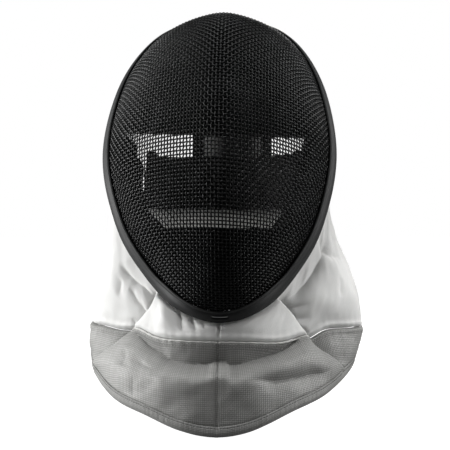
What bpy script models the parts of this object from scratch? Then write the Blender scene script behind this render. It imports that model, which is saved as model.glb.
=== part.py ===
"""Foil fencing mask: wire-mesh face and crown, moulded edge trim, padding, straps and tongue inside, quilted bib.

Metres, +Z up. The wearer looks along -Y, and +X is on the right of whoever faces the mask. The origin is the
point of the crown padding that sits on top of the head. The tables below measure from elsewhere, because that is
how the mask is drawn: heights from the lowest point of the mesh under the chin, depths from the middle of the
side view. SEAT is the origin in those coordinates.
"""
import math

import bmesh
import bpy
import numpy as np

SEAT = np.array((0.0, 0.030, 0.253))

# ---------------------------------------------------------------- driving dimensions
RIDGE_LEAN = 0.0045             # the ridge stands this far off the middle, as the mesh was formed by hand
MESH_WALL = 0.0020              # two crossing wires
RIDGE_ROUNDING = 0.12           # share of the half width over which the ridge is rounded
EDGE_OPENING = 0.96             # 1 would bring the mesh's sides parallel at its edge

# One row of the table is one bow of the mesh, from its left edge over the ridge to its right edge, in the order
# chin to back of the crown. ridge_share is the part of the bow's depth that the rounded V of the ridge makes.
# Columns: ridge_y, ridge_z, half_width, edge_y, edge_z, ridge_share
MESH_ROWS = (
    (-0.0440, 0.0000, 0.0000, -0.0440, 0.0000, 0.42),
    (-0.0560, 0.0180, 0.0310, -0.0350, 0.0080, 0.42),
    (-0.0680, 0.0410, 0.0510, -0.0140, 0.0220, 0.42),
    (-0.0765, 0.0680, 0.0680, 0.0015, 0.0420, 0.42),
    (-0.0800, 0.0980, 0.0840, 0.0170, 0.0660, 0.42),
    (-0.0795, 0.1280, 0.0945, 0.0310, 0.0920, 0.42),
    (-0.0750, 0.1560, 0.1015, 0.0430, 0.1170, 0.42),
    (-0.0660, 0.1820, 0.1050, 0.0555, 0.1420, 0.40),
    (-0.0520, 0.2070, 0.1040, 0.0660, 0.1660, 0.38),
    (-0.0310, 0.2335, 0.0995, 0.0750, 0.1900, 0.36),
    (-0.0040, 0.2570, 0.0925, 0.0830, 0.2120, 0.33),
    (0.0260, 0.2725, 0.0815, 0.0900, 0.2325, 0.30),
    (0.0540, 0.2770, 0.0665, 0.0950, 0.2505, 0.30),
    (0.0800, 0.2750, 0.0440, 0.0985, 0.2625, 0.30),
    (0.1000, 0.2680, 0.0000, 0.1000, 0.2680, 0.30),
)
LAST_ROW = len(MESH_ROWS) - 1
FLAT_AT_ENDS = (False, False, False, True, True, False)     # the edge runs level through chin and crown
EDGE_SECTIONS = 34              # mesh and trim have this many sections from chin to crown, evenly along the edge
BOW_POINTS = 23                 # and the mesh has this many points on each bow

# The trim's section: distance from the mesh's edge over the mesh, and height above the mesh.
# Columns: inward, height
TRIM_SECTION = (
    (0.0150, 0.0008),           # foot of the lip
    (0.0152, 0.0022),
    (0.0136, 0.0030),           # lip
    (0.0118, 0.0022),           # groove behind the lip
    (0.0050, 0.0040),           # crown of the band
    (-0.0012, 0.0036),
    (-0.0034, 0.0004),          # rim
    (-0.0022, -0.0048),
    (0.0080, -0.0056),          # inner wing
    (0.0084, -0.0033),
    (-0.0006, -0.0032),         # bottom of the slot that holds the mesh
    (-0.0006, 0.0008),
    (0.0072, 0.0008),
)
TRIM_CHIN_SHARE = 0.62          # the trim reaches only this share as far over the mesh at the chin
TRIM_CHIN_ROWS = (0.2, 2.0)     # and grows to its full reach between these mesh rows

PAD_GAP = 0.0034                # from the mesh's outer face to the padding
PAD_MARGIN = 0.0135             # from the mesh's edge to the padding
BOW_STRETCH = 0.62              # half widths of a bow for each unit of across, near its end
PAD_DEPTH = {"crown": 0.0190, "cheek": 0.0215, "chin": 0.0200}
PAD_BORDER = 0.30               # share of that depth just inside the padding's borders
PAD_FLANK = 0.25                # and share of it that the borders themselves stand high
CROWN_ACROSS = 0.92             # the crown padding ends here across a bow, or at PAD_MARGIN
CROWN_BACK = (12.9, 1.5)        # its last row at the ridge, and how much earlier it ends at the sides
CHEEK_ACROSS = 0.685            # where the cheek padding begins across a bow
CHEEK_LOW_ROW = 3.45
CHIN_ACROSS = 0.88
CHIN_LOW = (0.85, 0.35)         # first row of the chin padding at the ridge, and how much later it is at the sides
CHIN_SIDE_ROW = 3.2             # at its sides the chin padding reaches only up to this row
CHIN_STEP = (0.64, 0.74)        # it steps down there between these shares of its width
FOREHEAD_LINE = 0.1626          # height of the forehead padding's lower edge
CHEEK_LINE = 0.1611             # height of the cheek padding's upper edge, just below it
CHIN_LINE = 0.0785              # height of the chin padding's upper edge
SIGHT_SLOPE = 0.054             # both lines rise this much per depth, level to the eye of the beholder

# Each strap follows half an ellipse behind the head, from the trim on one side to the trim on the other.
# Columns: half_width, start_y, reach, low_z, high_z
STRAPS = {
    "back": (0.0860, 0.0365, 0.1035, 0.0960, 0.1480),
    "neck": (0.0765, 0.0270, 0.1080, 0.0680, 0.0950),
}
STRAP_X = 0.0015
STRAP_THICK = 0.0026
STRAP_TURN = 1.55               # radians from the middle of the back to an end
TAB_HIGH = 0.1110               # the back strap narrows to a tab at its ends
TAB_FROM = 0.0690               # half width at which it narrows
TAB_STEP = 0.012                # radians over which it does so

TONGUE_X = 0.0100
TONGUE_HALF_WIDTH = 0.0385
TONGUE_BINDING = 0.0075
TONGUE_THICK = {"pad": 0.0060, "binding": 0.0046}
TONGUE_ROUND = 0.0750           # radius of its bow from side to side
TONGUE_CORNER = 0.0200
# The tongue's middle line from the crown down behind the head.
# Columns: y, z
TONGUE_LINE = (
    (0.0880, 0.2570),
    (0.1060, 0.2510),
    (0.1240, 0.2360),
    (0.1385, 0.2100),
    (0.1465, 0.1780),
    (0.1500, 0.1440),
    (0.1495, 0.1100),
)
# The plate that holds the tongue, on the underside of the trim at the back of the crown.
TONGUE_CLIP_ROWS = 0.55         # mesh rows to each side of the ridge
# Columns: inward, height
TONGUE_CLIP_SECTION = (
    (0.0010, -0.0060),
    (0.0100, -0.0062),
    (0.0100, -0.0074),
    (0.0010, -0.0072),
)

BIB_WALL = 0.0050               # quilted cloth
BIB_BOW = {"upper": -0.0020, "lower": 0.0020}       # the panels bow in or out this far
BIB_GRID_ROWS = {"upper": 7, "lower": 10}
BIB_GRID_COLUMNS = {"left": 11, "front": 21, "right": 11}
BIB_ROWS_DOWN_JAW = 6.3         # the bib is sewn to the mesh's edge up to this mesh row
BIB_BEHIND_EDGE = 0.0050        # its top runs this far beyond the mesh's edge
BIB_UNDER_EDGE = 0.0012         # and this far under it
PANEL_GAP = 0.0006
FOLD_GAP = 0.0030               # half the gap between panels at a fold, as a share of the way around
# From the chin (around 0) to the wing's rear edge (around 1): the lame seam and the hem.
# Columns: around, seam_x, seam_y, seam_z, hem_x, hem_y, hem_z
BIB_TABLE = (
    (0.00, 0.0000, -0.0480, -0.0205, 0.0000, -0.0800, -0.0960),
    (0.17, 0.0300, -0.0440, -0.0205, 0.0330, -0.0750, -0.0905),
    (0.34, 0.0560, -0.0290, -0.0190, 0.0640, -0.0580, -0.0785),
    (0.50, 0.0770, -0.0080, -0.0110, 0.0900, -0.0300, -0.0660),
    (0.66, 0.1020, 0.0140, -0.0095, 0.1090, 0.0040, -0.0510),
    (0.82, 0.1230, 0.0440, -0.0100, 0.1205, 0.0400, -0.0380),
    (1.00, 0.1210, 0.0860, -0.0050, 0.1135, 0.0840, -0.0250),
)
# Where the fold between the front panel and a side panel runs.
FOLD_AROUND = {"top": 0.37, "seam": 0.50, "hem": 0.64}
FOLD_HEIGHT = 0.0045            # the fold stands out this far
FOLD_WIDTH = 0.035              # and falls off over this share of the way around
BIB_LEAN = (0.0035, 0.0080)     # the bib hangs off the middle, at its front and at its wings
BIB_TWIST = 0.0025              # its right side rides this much higher than its left side at the hem
TUCK_DEPTH = 0.0120             # the crease below the chin is this deep
TUCK_DOWN = 0.26                # its place between seam and hem at the middle
TUCK_END = 0.56                 # where it runs out, on the way around
TUCK_FALL = 0.16                # it falls off below over this share of the way down
PUFF = 0.0035                   # how far the panels are padded out
HEM_WIDTH = 0.0090
HEM_THICK = 0.0066
SEAM_BLEND = 0.25               # share of a panel over which it turns to the seam's normal


# ---------------------------------------------------------------- curves through the tables
def spline_bends(values, flat_ends):
    """Second differences of the cubic through evenly spaced values; each end is either straight or level."""
    count = len(values)
    system = np.diag(np.full(count, 4.0)) + np.diag(np.ones(count - 1), 1) + np.diag(np.ones(count - 1), -1)
    right = np.zeros(count)
    right[1:-1] = 6 * (values[2:] - 2 * values[1:-1] + values[:-2])
    if flat_ends:
        system[0, :2] = (2.0, 1.0)
        system[-1, -2:] = (1.0, 2.0)
        right[0] = 6 * (values[1] - values[0])
        right[-1] = -6 * (values[-1] - values[-2])
    else:
        system[0, :2] = (1.0, 0.0)
        system[-1, -2:] = (0.0, 1.0)
    return np.linalg.solve(system, right)


def through_rows(table, at, flat_ends=None):
    """Smooth values between a table's rows; `at` counts rows from 0."""
    values = np.array(table, dtype=float)
    flat_ends = flat_ends or (False,) * values.shape[1]
    bends = np.stack([spline_bends(values[:, i], flat_ends[i]) for i in range(values.shape[1])], axis=1)
    at = np.asarray(at, dtype=float)
    low = np.clip(np.floor(at).astype(int), 0, len(values) - 2)
    f = (at - low)[..., None]
    g = 1 - f
    return (g * values[low] + f * values[low + 1]
            + (g ** 3 - g) * bends[low] / 6 + (f ** 3 - f) * bends[low + 1] / 6)


def unit(vectors):
    return vectors / np.maximum(np.linalg.norm(vectors, axis=-1, keepdims=True), 1e-12)


def smooth_step(low, high, value):
    share = np.clip((value - low) / (high - low), 0, 1)
    return share * share * (3 - 2 * share)


# ---------------------------------------------------------------- the mesh's surface
def mesh_point(across, row, ridge=1.0):
    """Point of the mesh. across runs from -1, the left edge, over 0, the ridge, to 1; row counts table rows.

    A bow lies in the plane of its ridge point and its edge points. Its depth grows as the sum of a rounded V,
    which makes the ridge, and of a circle's arc, which makes the sides. ridge=0 leaves the V out.
    """
    across, row = np.broadcast_arrays(np.asarray(across, float), np.asarray(row, float))
    ridge_y, ridge_z, width, edge_y, edge_z, share = np.moveaxis(through_rows(MESH_ROWS, row, FLAT_AT_ENDS), -1, 0)
    share = share * ridge

    def reach(side, turn):
        vee = np.sqrt(side ** 2 + RIDGE_ROUNDING ** 2) - RIDGE_ROUNDING
        return share * vee + (1 - np.cos(turn)) / EDGE_OPENING ** 2

    full_turn = math.asin(EDGE_OPENING)
    side = np.sin(across * full_turn) / EDGE_OPENING
    depth = reach(side, across * full_turn) / reach(np.ones_like(side), full_turn)
    widest = max(line[2] for line in MESH_ROWS)
    edge_middle = RIDGE_LEAN * (1 - (width / widest) ** 2)
    x = RIDGE_LEAN + side * (width + np.sign(side) * (edge_middle - RIDGE_LEAN))
    return np.stack((x, ridge_y + (edge_y - ridge_y) * depth, ridge_z + (edge_z - ridge_z) * depth), axis=-1)


def mesh_normal(across, row, ridge=1.0):
    """Outward normal, from differences over a small step; the two poles take their neighbours' normal."""
    step = 1e-3
    across, row = np.broadcast_arrays(np.asarray(across, float), np.asarray(row, float))
    row = np.clip(row, 0.25, LAST_ROW - 0.25)
    left, right = np.clip(across - step, -1, 1), np.clip(across + step, -1, 1)
    along_bow = mesh_point(right, row, ridge) - mesh_point(left, row, ridge)
    along_ridge = mesh_point(across, row + step, ridge) - mesh_point(across, row - step, ridge)
    return unit(np.cross(along_bow, along_ridge))


def mesh_samples(bows=121, rows=225):
    across, row = np.meshgrid(np.linspace(-1, 1, bows), np.linspace(0.02, LAST_ROW - 0.02, rows), indexing="ij")
    return mesh_point(across, row).reshape(-1, 3), mesh_normal(across, row).reshape(-1, 3)


def laid_on_mesh(points, samples):
    """Move points onto the mesh: each goes to the tangent plane of the nearest sample. Gives points and normals."""
    places, normals = samples
    flat = points.reshape(-1, 3)
    nearest = np.empty(len(flat), dtype=int)
    own = (places ** 2).sum(1)
    for start in range(0, len(flat), 128):
        block = flat[start:start + 128]
        nearest[start:start + 128] = np.argmin(own - 2 * block @ places.T, axis=1)
    n = normals[nearest]
    laid = flat - n * ((flat - places[nearest]) * n).sum(1, keepdims=True)
    return laid.reshape(points.shape), n.reshape(points.shape)


def section_rows():
    """Rows from 0 to the last one whose edge points are evenly spaced."""
    fine = np.linspace(0, LAST_ROW, 1401)
    run = np.concatenate(((0,), np.cumsum(np.linalg.norm(np.diff(mesh_point(1.0, fine), axis=0), axis=1))))
    return np.interp(np.linspace(0, run[-1], EDGE_SECTIONS), run, fine)


def edge_frame(loop):
    """Edge point, outward normal and the direction beyond the edge. loop is minus or plus the mesh row."""
    def place(at):
        at = (at + LAST_ROW) % (2 * LAST_ROW) - LAST_ROW
        return mesh_point(np.where(at < 0, -1.0, 1.0), np.abs(at))

    step = 0.02
    tangent = unit(place(loop + step) - place(loop - step))
    near, far = 0.5, LAST_ROW - 0.5
    size = np.clip(np.abs(loop), near, far)
    own = mesh_normal(np.where(loop < 0, -1.0, 1.0), size)
    other = mesh_normal(np.where(loop < 0, 1.0, -1.0), size)
    mix = np.clip(np.maximum((near - np.abs(loop)) / near, (np.abs(loop) - far) / (LAST_ROW - far)), 0, 1)[..., None]
    normal = own * (1 - mix / 2) + other * mix / 2
    normal = unit(normal - tangent * (normal * tangent).sum(-1, keepdims=True))
    return place(loop), normal, np.cross(tangent, normal)


def along_edge(loop, section, samples):
    """Rings of points: the section's (inward, height) pairs carried along the mesh's edge."""
    edge, normal, beyond = edge_frame(loop)
    inward = np.array([pair[0] for pair in section])
    height = np.array([pair[1] for pair in section])[None, :, None]
    share = TRIM_CHIN_SHARE + (1 - TRIM_CHIN_SHARE) * smooth_step(*TRIM_CHIN_ROWS, np.abs(loop))
    reach = np.where(inward > 0, inward * share[:, None], inward)
    points = edge[:, None] - beyond[:, None] * reach[..., None]
    laid, laid_normal = laid_on_mesh(points, samples)
    on_mesh = (inward > 0)[None, :, None]
    points = np.where(on_mesh, laid, points)
    normals = np.where(on_mesh, laid_normal, normal[:, None])
    return points + normals * height


# ---------------------------------------------------------------- solids
def material(name, colour, roughness, metallic=0.0):
    made = bpy.data.materials.get(name) or bpy.data.materials.new(name)
    made.use_nodes = True
    shader = made.node_tree.nodes["Principled BSDF"]
    shader.inputs["Base Color"].default_value = (*colour, 1.0)
    shader.inputs["Roughness"].default_value = roughness
    shader.inputs["Metallic"].default_value = metallic
    made.diffuse_color = (*colour, 1.0)
    return made


def add_solid(name, points, faces, finish):
    """One closed mesh object; points in the tables' coordinates."""
    mesh = bpy.data.meshes.new(name)
    mesh.from_pydata((points.reshape(-1, 3) - SEAT).tolist(), [], faces)
    shape = bmesh.new()
    shape.from_mesh(mesh)
    bmesh.ops.remove_doubles(shape, verts=shape.verts, dist=1e-6)
    bmesh.ops.recalc_face_normals(shape, faces=shape.faces)
    shape.to_mesh(mesh)
    shape.free()
    mesh.shade_smooth()
    mesh.set_sharp_from_angle(angle=math.radians(50))
    mesh.materials.append(finish)
    thing = bpy.data.objects.new(name, mesh)
    bpy.context.collection.objects.link(thing)
    return thing


def slab(name, outer, inner, finish):
    """Closed solid between two grids of the same size."""
    rows, columns = outer.shape[:2]
    count = rows * columns
    index = np.arange(count).reshape(rows, columns)
    a, b, c, d = index[:-1, :-1], index[1:, :-1], index[1:, 1:], index[:-1, 1:]
    front = np.stack((a, b, c, d), axis=-1).reshape(-1, 4)
    back = front[:, ::-1] + count
    border = np.concatenate((index[:, 0], index[-1, 1:], index[-2::-1, -1], index[0, -2:0:-1]))
    after = np.roll(border, -1)
    sides = np.stack((after, border, border + count, after + count), axis=-1)
    faces = np.concatenate((front, back, sides)).tolist()
    return add_solid(name, np.concatenate((outer.reshape(-1, 3), inner.reshape(-1, 3))), faces, finish)


def ring_solid(name, rings, finish, closed):
    """Solid through rings of points. closed joins the last ring to the first, and otherwise both ends are capped."""
    count, sides = rings.shape[:2]
    index = np.arange(count * sides).reshape(count, sides)
    following = np.roll(index, -1, axis=0) if closed else index[1:]
    here = index if closed else index[:-1]
    faces = np.stack((here, np.roll(here, -1, axis=1), np.roll(following, -1, axis=1), following), axis=-1)
    faces = faces.reshape(-1, 4).tolist()
    if not closed:
        faces += [index[0].tolist(), index[-1].tolist()]
    return add_solid(name, rings, faces, finish)


# ---------------------------------------------------------------- mesh and trim
def make_wire_mesh(finish):
    across, row = np.meshgrid(np.linspace(-1, 1, BOW_POINTS), section_rows(), indexing="ij")
    outer = mesh_point(across, row)
    normal = mesh_normal(across, row)
    for end in (0, -1):
        normal[:, end] = unit(normal[:, end].mean(axis=0))
    return slab("wire_mesh", outer, outer - normal * MESH_WALL, finish)


def make_edge_trim(finish, samples):
    rows = section_rows()
    loop = np.concatenate((-rows[::-1], rows[1:-1]))
    return ring_solid("edge_trim", along_edge(loop, TRIM_SECTION, samples), finish, closed=True)


# ---------------------------------------------------------------- padding
def row_at_height(across, height, slope):
    """Mesh row at which each bow position reaches a height that rises with depth."""
    rows = np.linspace(0, LAST_ROW - 3, 200)
    found = []
    for place in np.atleast_1d(across):
        points = mesh_point(place, rows)
        found.append(np.interp(height, points[:, 2] - slope * points[:, 1], rows))
    return np.array(found)


def padding(name, across, row, depth, finish):
    """Padded block under the mesh: full in its middle and thinner towards its borders."""
    along = np.linspace(-1, 1, across.shape[0])[:, None]
    up = np.linspace(-1, 1, across.shape[1])[None, :]
    fullness = PAD_BORDER + (1 - PAD_BORDER) * (1 - along ** 6) * (1 - up ** 4)
    outer = mesh_point(across, row) - mesh_normal(across, row) * PAD_GAP
    inner = mesh_point(across, row, 0) - mesh_normal(across, row, 0) * (PAD_GAP + depth * fullness[..., None])
    flank = mesh_point(across, row) - mesh_normal(across, row) * (PAD_GAP + PAD_FLANK * depth)
    edge = ((np.abs(along) == 1) | (np.abs(up) == 1))[..., None]
    return slab(name, outer, np.where(edge, flank, inner), finish)


def clear_of_edge(row):
    """How far across a bow the padding may go, so that it stays PAD_MARGIN inside the mesh's edge."""
    width = through_rows(MESH_ROWS, row, FLAT_AT_ENDS)[..., 2]
    return 1 - BOW_STRETCH * PAD_MARGIN / width


def between(low, high, count):
    return low[:, None] + (high - low)[:, None] * np.linspace(0, 1, count)[None, :]


def make_padding(finish):
    spread = np.linspace(-1, 1, 17)
    low = row_at_height(spread * CROWN_ACROSS, FOREHEAD_LINE, SIGHT_SLOPE)
    rows = between(low, CROWN_BACK[0] - CROWN_BACK[1] * spread ** 2, 10)
    across = spread[:, None] * np.minimum(CROWN_ACROSS, clear_of_edge(rows))
    padding("crown_pad", across, rows, PAD_DEPTH["crown"], finish)

    for side, label in ((-1, "left"), (1, "right")):
        spread = np.linspace(0, 1, 8)
        high = row_at_height(CHEEK_ACROSS + (CROWN_ACROSS - CHEEK_ACROSS) * spread, CHEEK_LINE, SIGHT_SLOPE)
        rows = between(np.full(spread.shape, CHEEK_LOW_ROW), high, 10)
        across = CHEEK_ACROSS + (clear_of_edge(rows) - CHEEK_ACROSS) * spread[:, None]
        padding("cheek_pad_" + label, side * across, rows, PAD_DEPTH["cheek"], finish)

    spread = np.linspace(-1, 1, 17)
    level = row_at_height(spread * CHIN_ACROSS, CHIN_LINE, SIGHT_SLOPE)
    drop = smooth_step(*CHIN_STEP, np.abs(spread))
    high = level * (1 - drop) + CHIN_SIDE_ROW * drop
    rows = between(CHIN_LOW[0] + CHIN_LOW[1] * np.abs(spread), high, 8)
    padding("chin_pad", spread[:, None] * clear_of_edge(rows), rows, PAD_DEPTH["chin"], finish)


# ---------------------------------------------------------------- straps and tongue
def strap_band(name, size, tab_high, finish):
    """Elastic band on half an ellipse behind the head; tab_high is the height of its narrowed ends, or None."""
    half_width, start_y, reach, low, high = size
    turns = np.linspace(-STRAP_TURN, STRAP_TURN, 33)
    tops = np.full(turns.shape, high)
    if tab_high is not None:
        narrow = math.asin(TAB_FROM / half_width)
        away = np.abs(np.abs(turns) - narrow) > 3 * TAB_STEP
        turns = np.sort(np.concatenate((turns[away], (-narrow - TAB_STEP, -narrow, narrow, narrow + TAB_STEP))))
        tops = np.where(np.abs(turns) > narrow + TAB_STEP / 2, tab_high, high)

    def face(offset):
        x = STRAP_X + (half_width + offset) * np.sin(turns)
        y = start_y + (reach + offset) * np.cos(turns)
        heights = between(np.full(turns.shape, low), tops, 3)
        return np.stack((np.repeat(x[:, None], 3, 1), np.repeat(y[:, None], 3, 1), heights), axis=-1)

    return slab(name, face(0.0), face(STRAP_THICK), finish)


def tongue_face(x, along, offset):
    """Point of the tongue: x from its middle, along from 0 at the crown to 1 at its end, offset off its middle."""
    at = along * (len(TONGUE_LINE) - 1)
    line = through_rows(TONGUE_LINE, at)
    inner = np.clip(at, 0.01, len(TONGUE_LINE) - 1.01)
    step = through_rows(TONGUE_LINE, inner + 0.01) - through_rows(TONGUE_LINE, inner - 0.01)
    out = unit(np.stack((-step[..., 1], step[..., 0]), axis=-1))
    bow = x ** 2 / (2 * TONGUE_ROUND)
    middle = line + out * (offset - bow)[..., None]
    return np.stack((TONGUE_X + x, middle[..., 0], middle[..., 1]), axis=-1)


def make_tongue(pad_finish, binding_finish, clip_finish, samples):
    line = through_rows(TONGUE_LINE, np.linspace(0, len(TONGUE_LINE) - 1, 60))
    length = float(np.linalg.norm(np.diff(line, axis=0), axis=1).sum())

    def outline(margin):
        """Half outline of the tongue as (x, along), from the crown down a side and round a corner to the middle."""
        half = TONGUE_HALF_WIDTH - margin
        corner = TONGUE_CORNER - margin / 2
        end = length - margin
        straight = np.linspace(0, end - corner, 9)
        turn = np.linspace(0, math.pi / 2, 6)[1:]
        x = np.concatenate((np.full(9, half), half - corner + corner * np.cos(turn), (0.0,)))
        along = np.concatenate((straight, end - corner + corner * np.sin(turn), (end,)))
        return np.concatenate((x, -x[-2::-1])), np.concatenate((along, along[-2::-1])) / length

    outer_x, outer_along = outline(0.0)
    inner_x, inner_along = outline(TONGUE_BINDING)
    x = np.stack((outer_x, (outer_x + inner_x) / 2, inner_x), axis=1)
    along = np.stack((outer_along, (outer_along + inner_along) / 2, inner_along), axis=1)
    half = TONGUE_THICK["binding"] / 2
    slab("tongue_binding", tongue_face(x, along, half), tongue_face(x, along, -half), binding_finish)

    pad_x, pad_along = outline(TONGUE_BINDING + PANEL_GAP)
    middle = len(pad_x) // 2
    right_x, down = pad_x[:middle], pad_along[:middle]
    spread = np.linspace(-1, 1, 9)
    x = right_x[:, None] * spread[None, :]
    along = np.repeat(down[:, None], len(spread), axis=1)
    half = TONGUE_THICK["pad"] / 2 * (1 - 0.5 * np.abs(spread) ** 4)[None, :] * np.ones_like(x)
    slab("tongue_pad", tongue_face(x, along, half), tongue_face(x, along, -half), pad_finish)

    loop = LAST_ROW + np.linspace(-TONGUE_CLIP_ROWS, TONGUE_CLIP_ROWS, 7)
    ring_solid("tongue_clip", along_edge(loop, TONGUE_CLIP_SECTION, samples), clip_finish, closed=False)


# ---------------------------------------------------------------- bib
def bib_lines(around):
    """Top, seam and hem of the bib at `around`, -1 to 1 from the left wing's rear edge to the right one's."""
    size = np.abs(around)
    marks = np.array([line[0] for line in BIB_TABLE])
    at = np.interp(size, marks, np.arange(len(marks)))
    seam_x, seam_y, seam_z, hem_x, hem_y, hem_z = np.moveaxis(
        through_rows([line[1:] for line in BIB_TABLE], at, (False, True, True, False, True, True)), -1, 0)
    side = np.sign(around)
    edge, normal, beyond = edge_frame(around * BIB_ROWS_DOWN_JAW)
    top = edge + beyond * BIB_BEHIND_EDGE - normal * BIB_UNDER_EDGE
    lean = BIB_LEAN[0] + (BIB_LEAN[1] - BIB_LEAN[0]) * size ** 2
    twist = BIB_TWIST * side * np.sin(math.pi * size) ** 2
    seam = np.stack((lean + side * seam_x, seam_y, seam_z - twist), axis=-1)
    hem = np.stack((lean + side * hem_x, hem_y, hem_z + twist), axis=-1)
    return top, seam, hem


def fold_around(part, down):
    ends = ("top", "seam") if part == "upper" else ("seam", "hem")
    return FOLD_AROUND[ends[0]] + (FOLD_AROUND[ends[1]] - FOLD_AROUND[ends[0]]) * down


def bib_base(part, around, down):
    """Bib before its folds: straight from line to line, bowed out a little at the sides."""
    top, seam, hem = bib_lines(around)
    high, low = (top, seam) if part == "upper" else (seam, hem)
    down = down[..., None]
    out = np.stack((np.sign(around) * np.abs(around) ** 1.5, np.abs(around) - 1.0, np.zeros_like(around)), axis=-1)
    return high * (1 - down) + low * down + out * BIB_BOW[part] * np.sin(math.pi * down)


def bib_normal(part, around, down):
    """Outward normal of the bib; near the seam both parts turn to the seam's own normal and so meet flush."""
    seam_side = 1.0 if part == "upper" else 0.0
    own = panel_normal(part, around, down)
    line = np.ones_like(down)
    shared = unit(panel_normal("upper", around, line) + panel_normal("lower", around, 0 * line))
    near = smooth_step(1 - SEAM_BLEND, 1, 1 - np.abs(down - seam_side))[..., None]
    return unit(own * (1 - near) + shared * near)


def panel_normal(part, around, down):
    step = 0.004
    left, right = np.clip(around - step, -1, 1), np.clip(around + step, -1, 1)
    up, below = np.clip(down - step, 0, 1), np.clip(down + step, 0, 1)
    across = bib_base(part, right, down) - bib_base(part, left, down)
    along = bib_base(part, around, below) - bib_base(part, around, up)
    return unit(np.cross(along, across))


def bib_relief(part, around, down):
    """Height of the folds: the ridge between panels, the tuck under the chin and the padding's swell."""
    size = np.abs(around)
    fold = fold_around(part, down)
    ridge = FOLD_HEIGHT * np.exp(-np.abs(size - fold) / FOLD_WIDTH)
    if part == "upper":
        swell = PUFF * np.sin(math.pi * down) * np.minimum(1, np.abs(size - fold) / 0.15)
        return (ridge + swell) * smooth_step(0.0, 0.3, down)
    ridge = ridge * (1 - smooth_step(0.45, 0.85, down))
    line = TUCK_DOWN * np.clip(1 - (size / FOLD_AROUND["seam"]) ** 2.5, 0, 1)
    depth = TUCK_DEPTH * np.clip(1 - (size / TUCK_END) ** 2, 0, 1)
    rise = np.where(down < line, down / np.maximum(line, 1e-3), np.exp(-(down - line) / TUCK_FALL))
    return ridge - depth * rise + PUFF * np.sin(math.pi * down) * smooth_step(0, 0.12, fold - size)


def bib_panel(name, part, around, down, finish):
    normal = bib_normal(part, around, down)
    outer = bib_base(part, around, down) + normal * bib_relief(part, around, down)[..., None]
    return slab(name, outer, outer - normal * BIB_WALL, finish)


def make_bib(white, lame, binding_finish):
    for part, finish in (("upper", white), ("lower", lame)):
        down = np.linspace(0.0, 1.0, BIB_GRID_ROWS[part])
        for label, columns in BIB_GRID_COLUMNS.items():
            share = np.linspace(0, 1, columns)[:, None]
            fold = fold_around(part, down)[None, :]
            if label == "front":
                around = (2 * share - 1) * (fold - FOLD_GAP)
            else:
                side = -1 if label == "left" else 1
                around = side * (fold + FOLD_GAP + (1 - fold - FOLD_GAP) * share)
            top, seam, hem = bib_lines(around)
            drop = np.repeat(down[None, :], columns, axis=0)
            if part == "upper":
                drop = drop * (1 - PANEL_GAP / np.linalg.norm(seam - top, axis=-1))
            else:
                drop = drop * (1 - (HEM_WIDTH + PANEL_GAP) / np.linalg.norm(hem - seam, axis=-1))
            bib_panel("bib_" + part + "_" + label, part, around, drop, finish)

    around = np.linspace(-1, 1, 61)
    top, seam, hem = bib_lines(around)
    share = HEM_WIDTH / np.linalg.norm(hem - seam, axis=-1)
    begin = bib_base("lower", around, 1 - share) + \
        bib_normal("lower", around, 1 - share) * bib_relief("lower", around, 1 - share)[:, None]
    end = bib_base("lower", around, np.ones_like(around))
    normal = bib_normal("lower", around, np.full_like(around, 0.98))
    down = unit(end - begin)
    proud = (HEM_THICK - BIB_WALL) / 2
    round_off = HEM_WIDTH - 0.0015
    corners = ((PANEL_GAP, proud), (round_off, proud), (HEM_WIDTH, proud - HEM_THICK / 2),
               (round_off, proud - HEM_THICK), (PANEL_GAP, proud - HEM_THICK))
    rings = np.stack([begin + down * run + normal * height for run, height in corners], axis=1)
    ring_solid("bib_binding", rings, binding_finish, closed=False)


def main():
    for thing in list(bpy.data.objects):
        bpy.data.objects.remove(thing)
    black_wire = material("black_wire", (0.018, 0.019, 0.019), 0.45, 0.6)
    trim = material("charcoal_trim", (0.022, 0.022, 0.024), 0.38)
    padding_cloth = material("black_padding", (0.012, 0.012, 0.013), 0.85)
    elastic = material("black_elastic", (0.015, 0.015, 0.016), 0.80)
    grey_cloth = material("grey_elastic", (0.16, 0.16, 0.16), 0.80)
    tongue_cloth = material("grey_tongue_cloth", (0.20, 0.20, 0.20), 0.85)
    plain_steel = material("plain_steel", (0.30, 0.30, 0.31), 0.40, 1.0)
    white = material("white_quilted_cloth", (0.78, 0.78, 0.76), 0.75)
    lame = material("grey_lame", (0.33, 0.33, 0.31), 0.50, 0.3)

    samples = mesh_samples()
    make_wire_mesh(black_wire)
    make_edge_trim(trim, samples)
    make_padding(padding_cloth)
    strap_band("back_strap", STRAPS["back"], TAB_HIGH, elastic)
    strap_band("neck_strap", STRAPS["neck"], None, grey_cloth)
    make_tongue(tongue_cloth, elastic, plain_steel, samples)
    make_bib(white, lame, lame)


main()
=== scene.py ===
"""Looks of the foil fencing mask: woven wire, moulded trim, padding, straps, tongue, quilted bib and a plain studio.

Metres, +Z up, the wearer looks along -Y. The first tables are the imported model's, with a few soft pieces moved by
millimetres. They measure from the lowest point of the wire under the chin and the middle of the side view, and SEAT
is the model's origin in them. The formulas of the surfaces stand with their functions.
"""
import math

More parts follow.
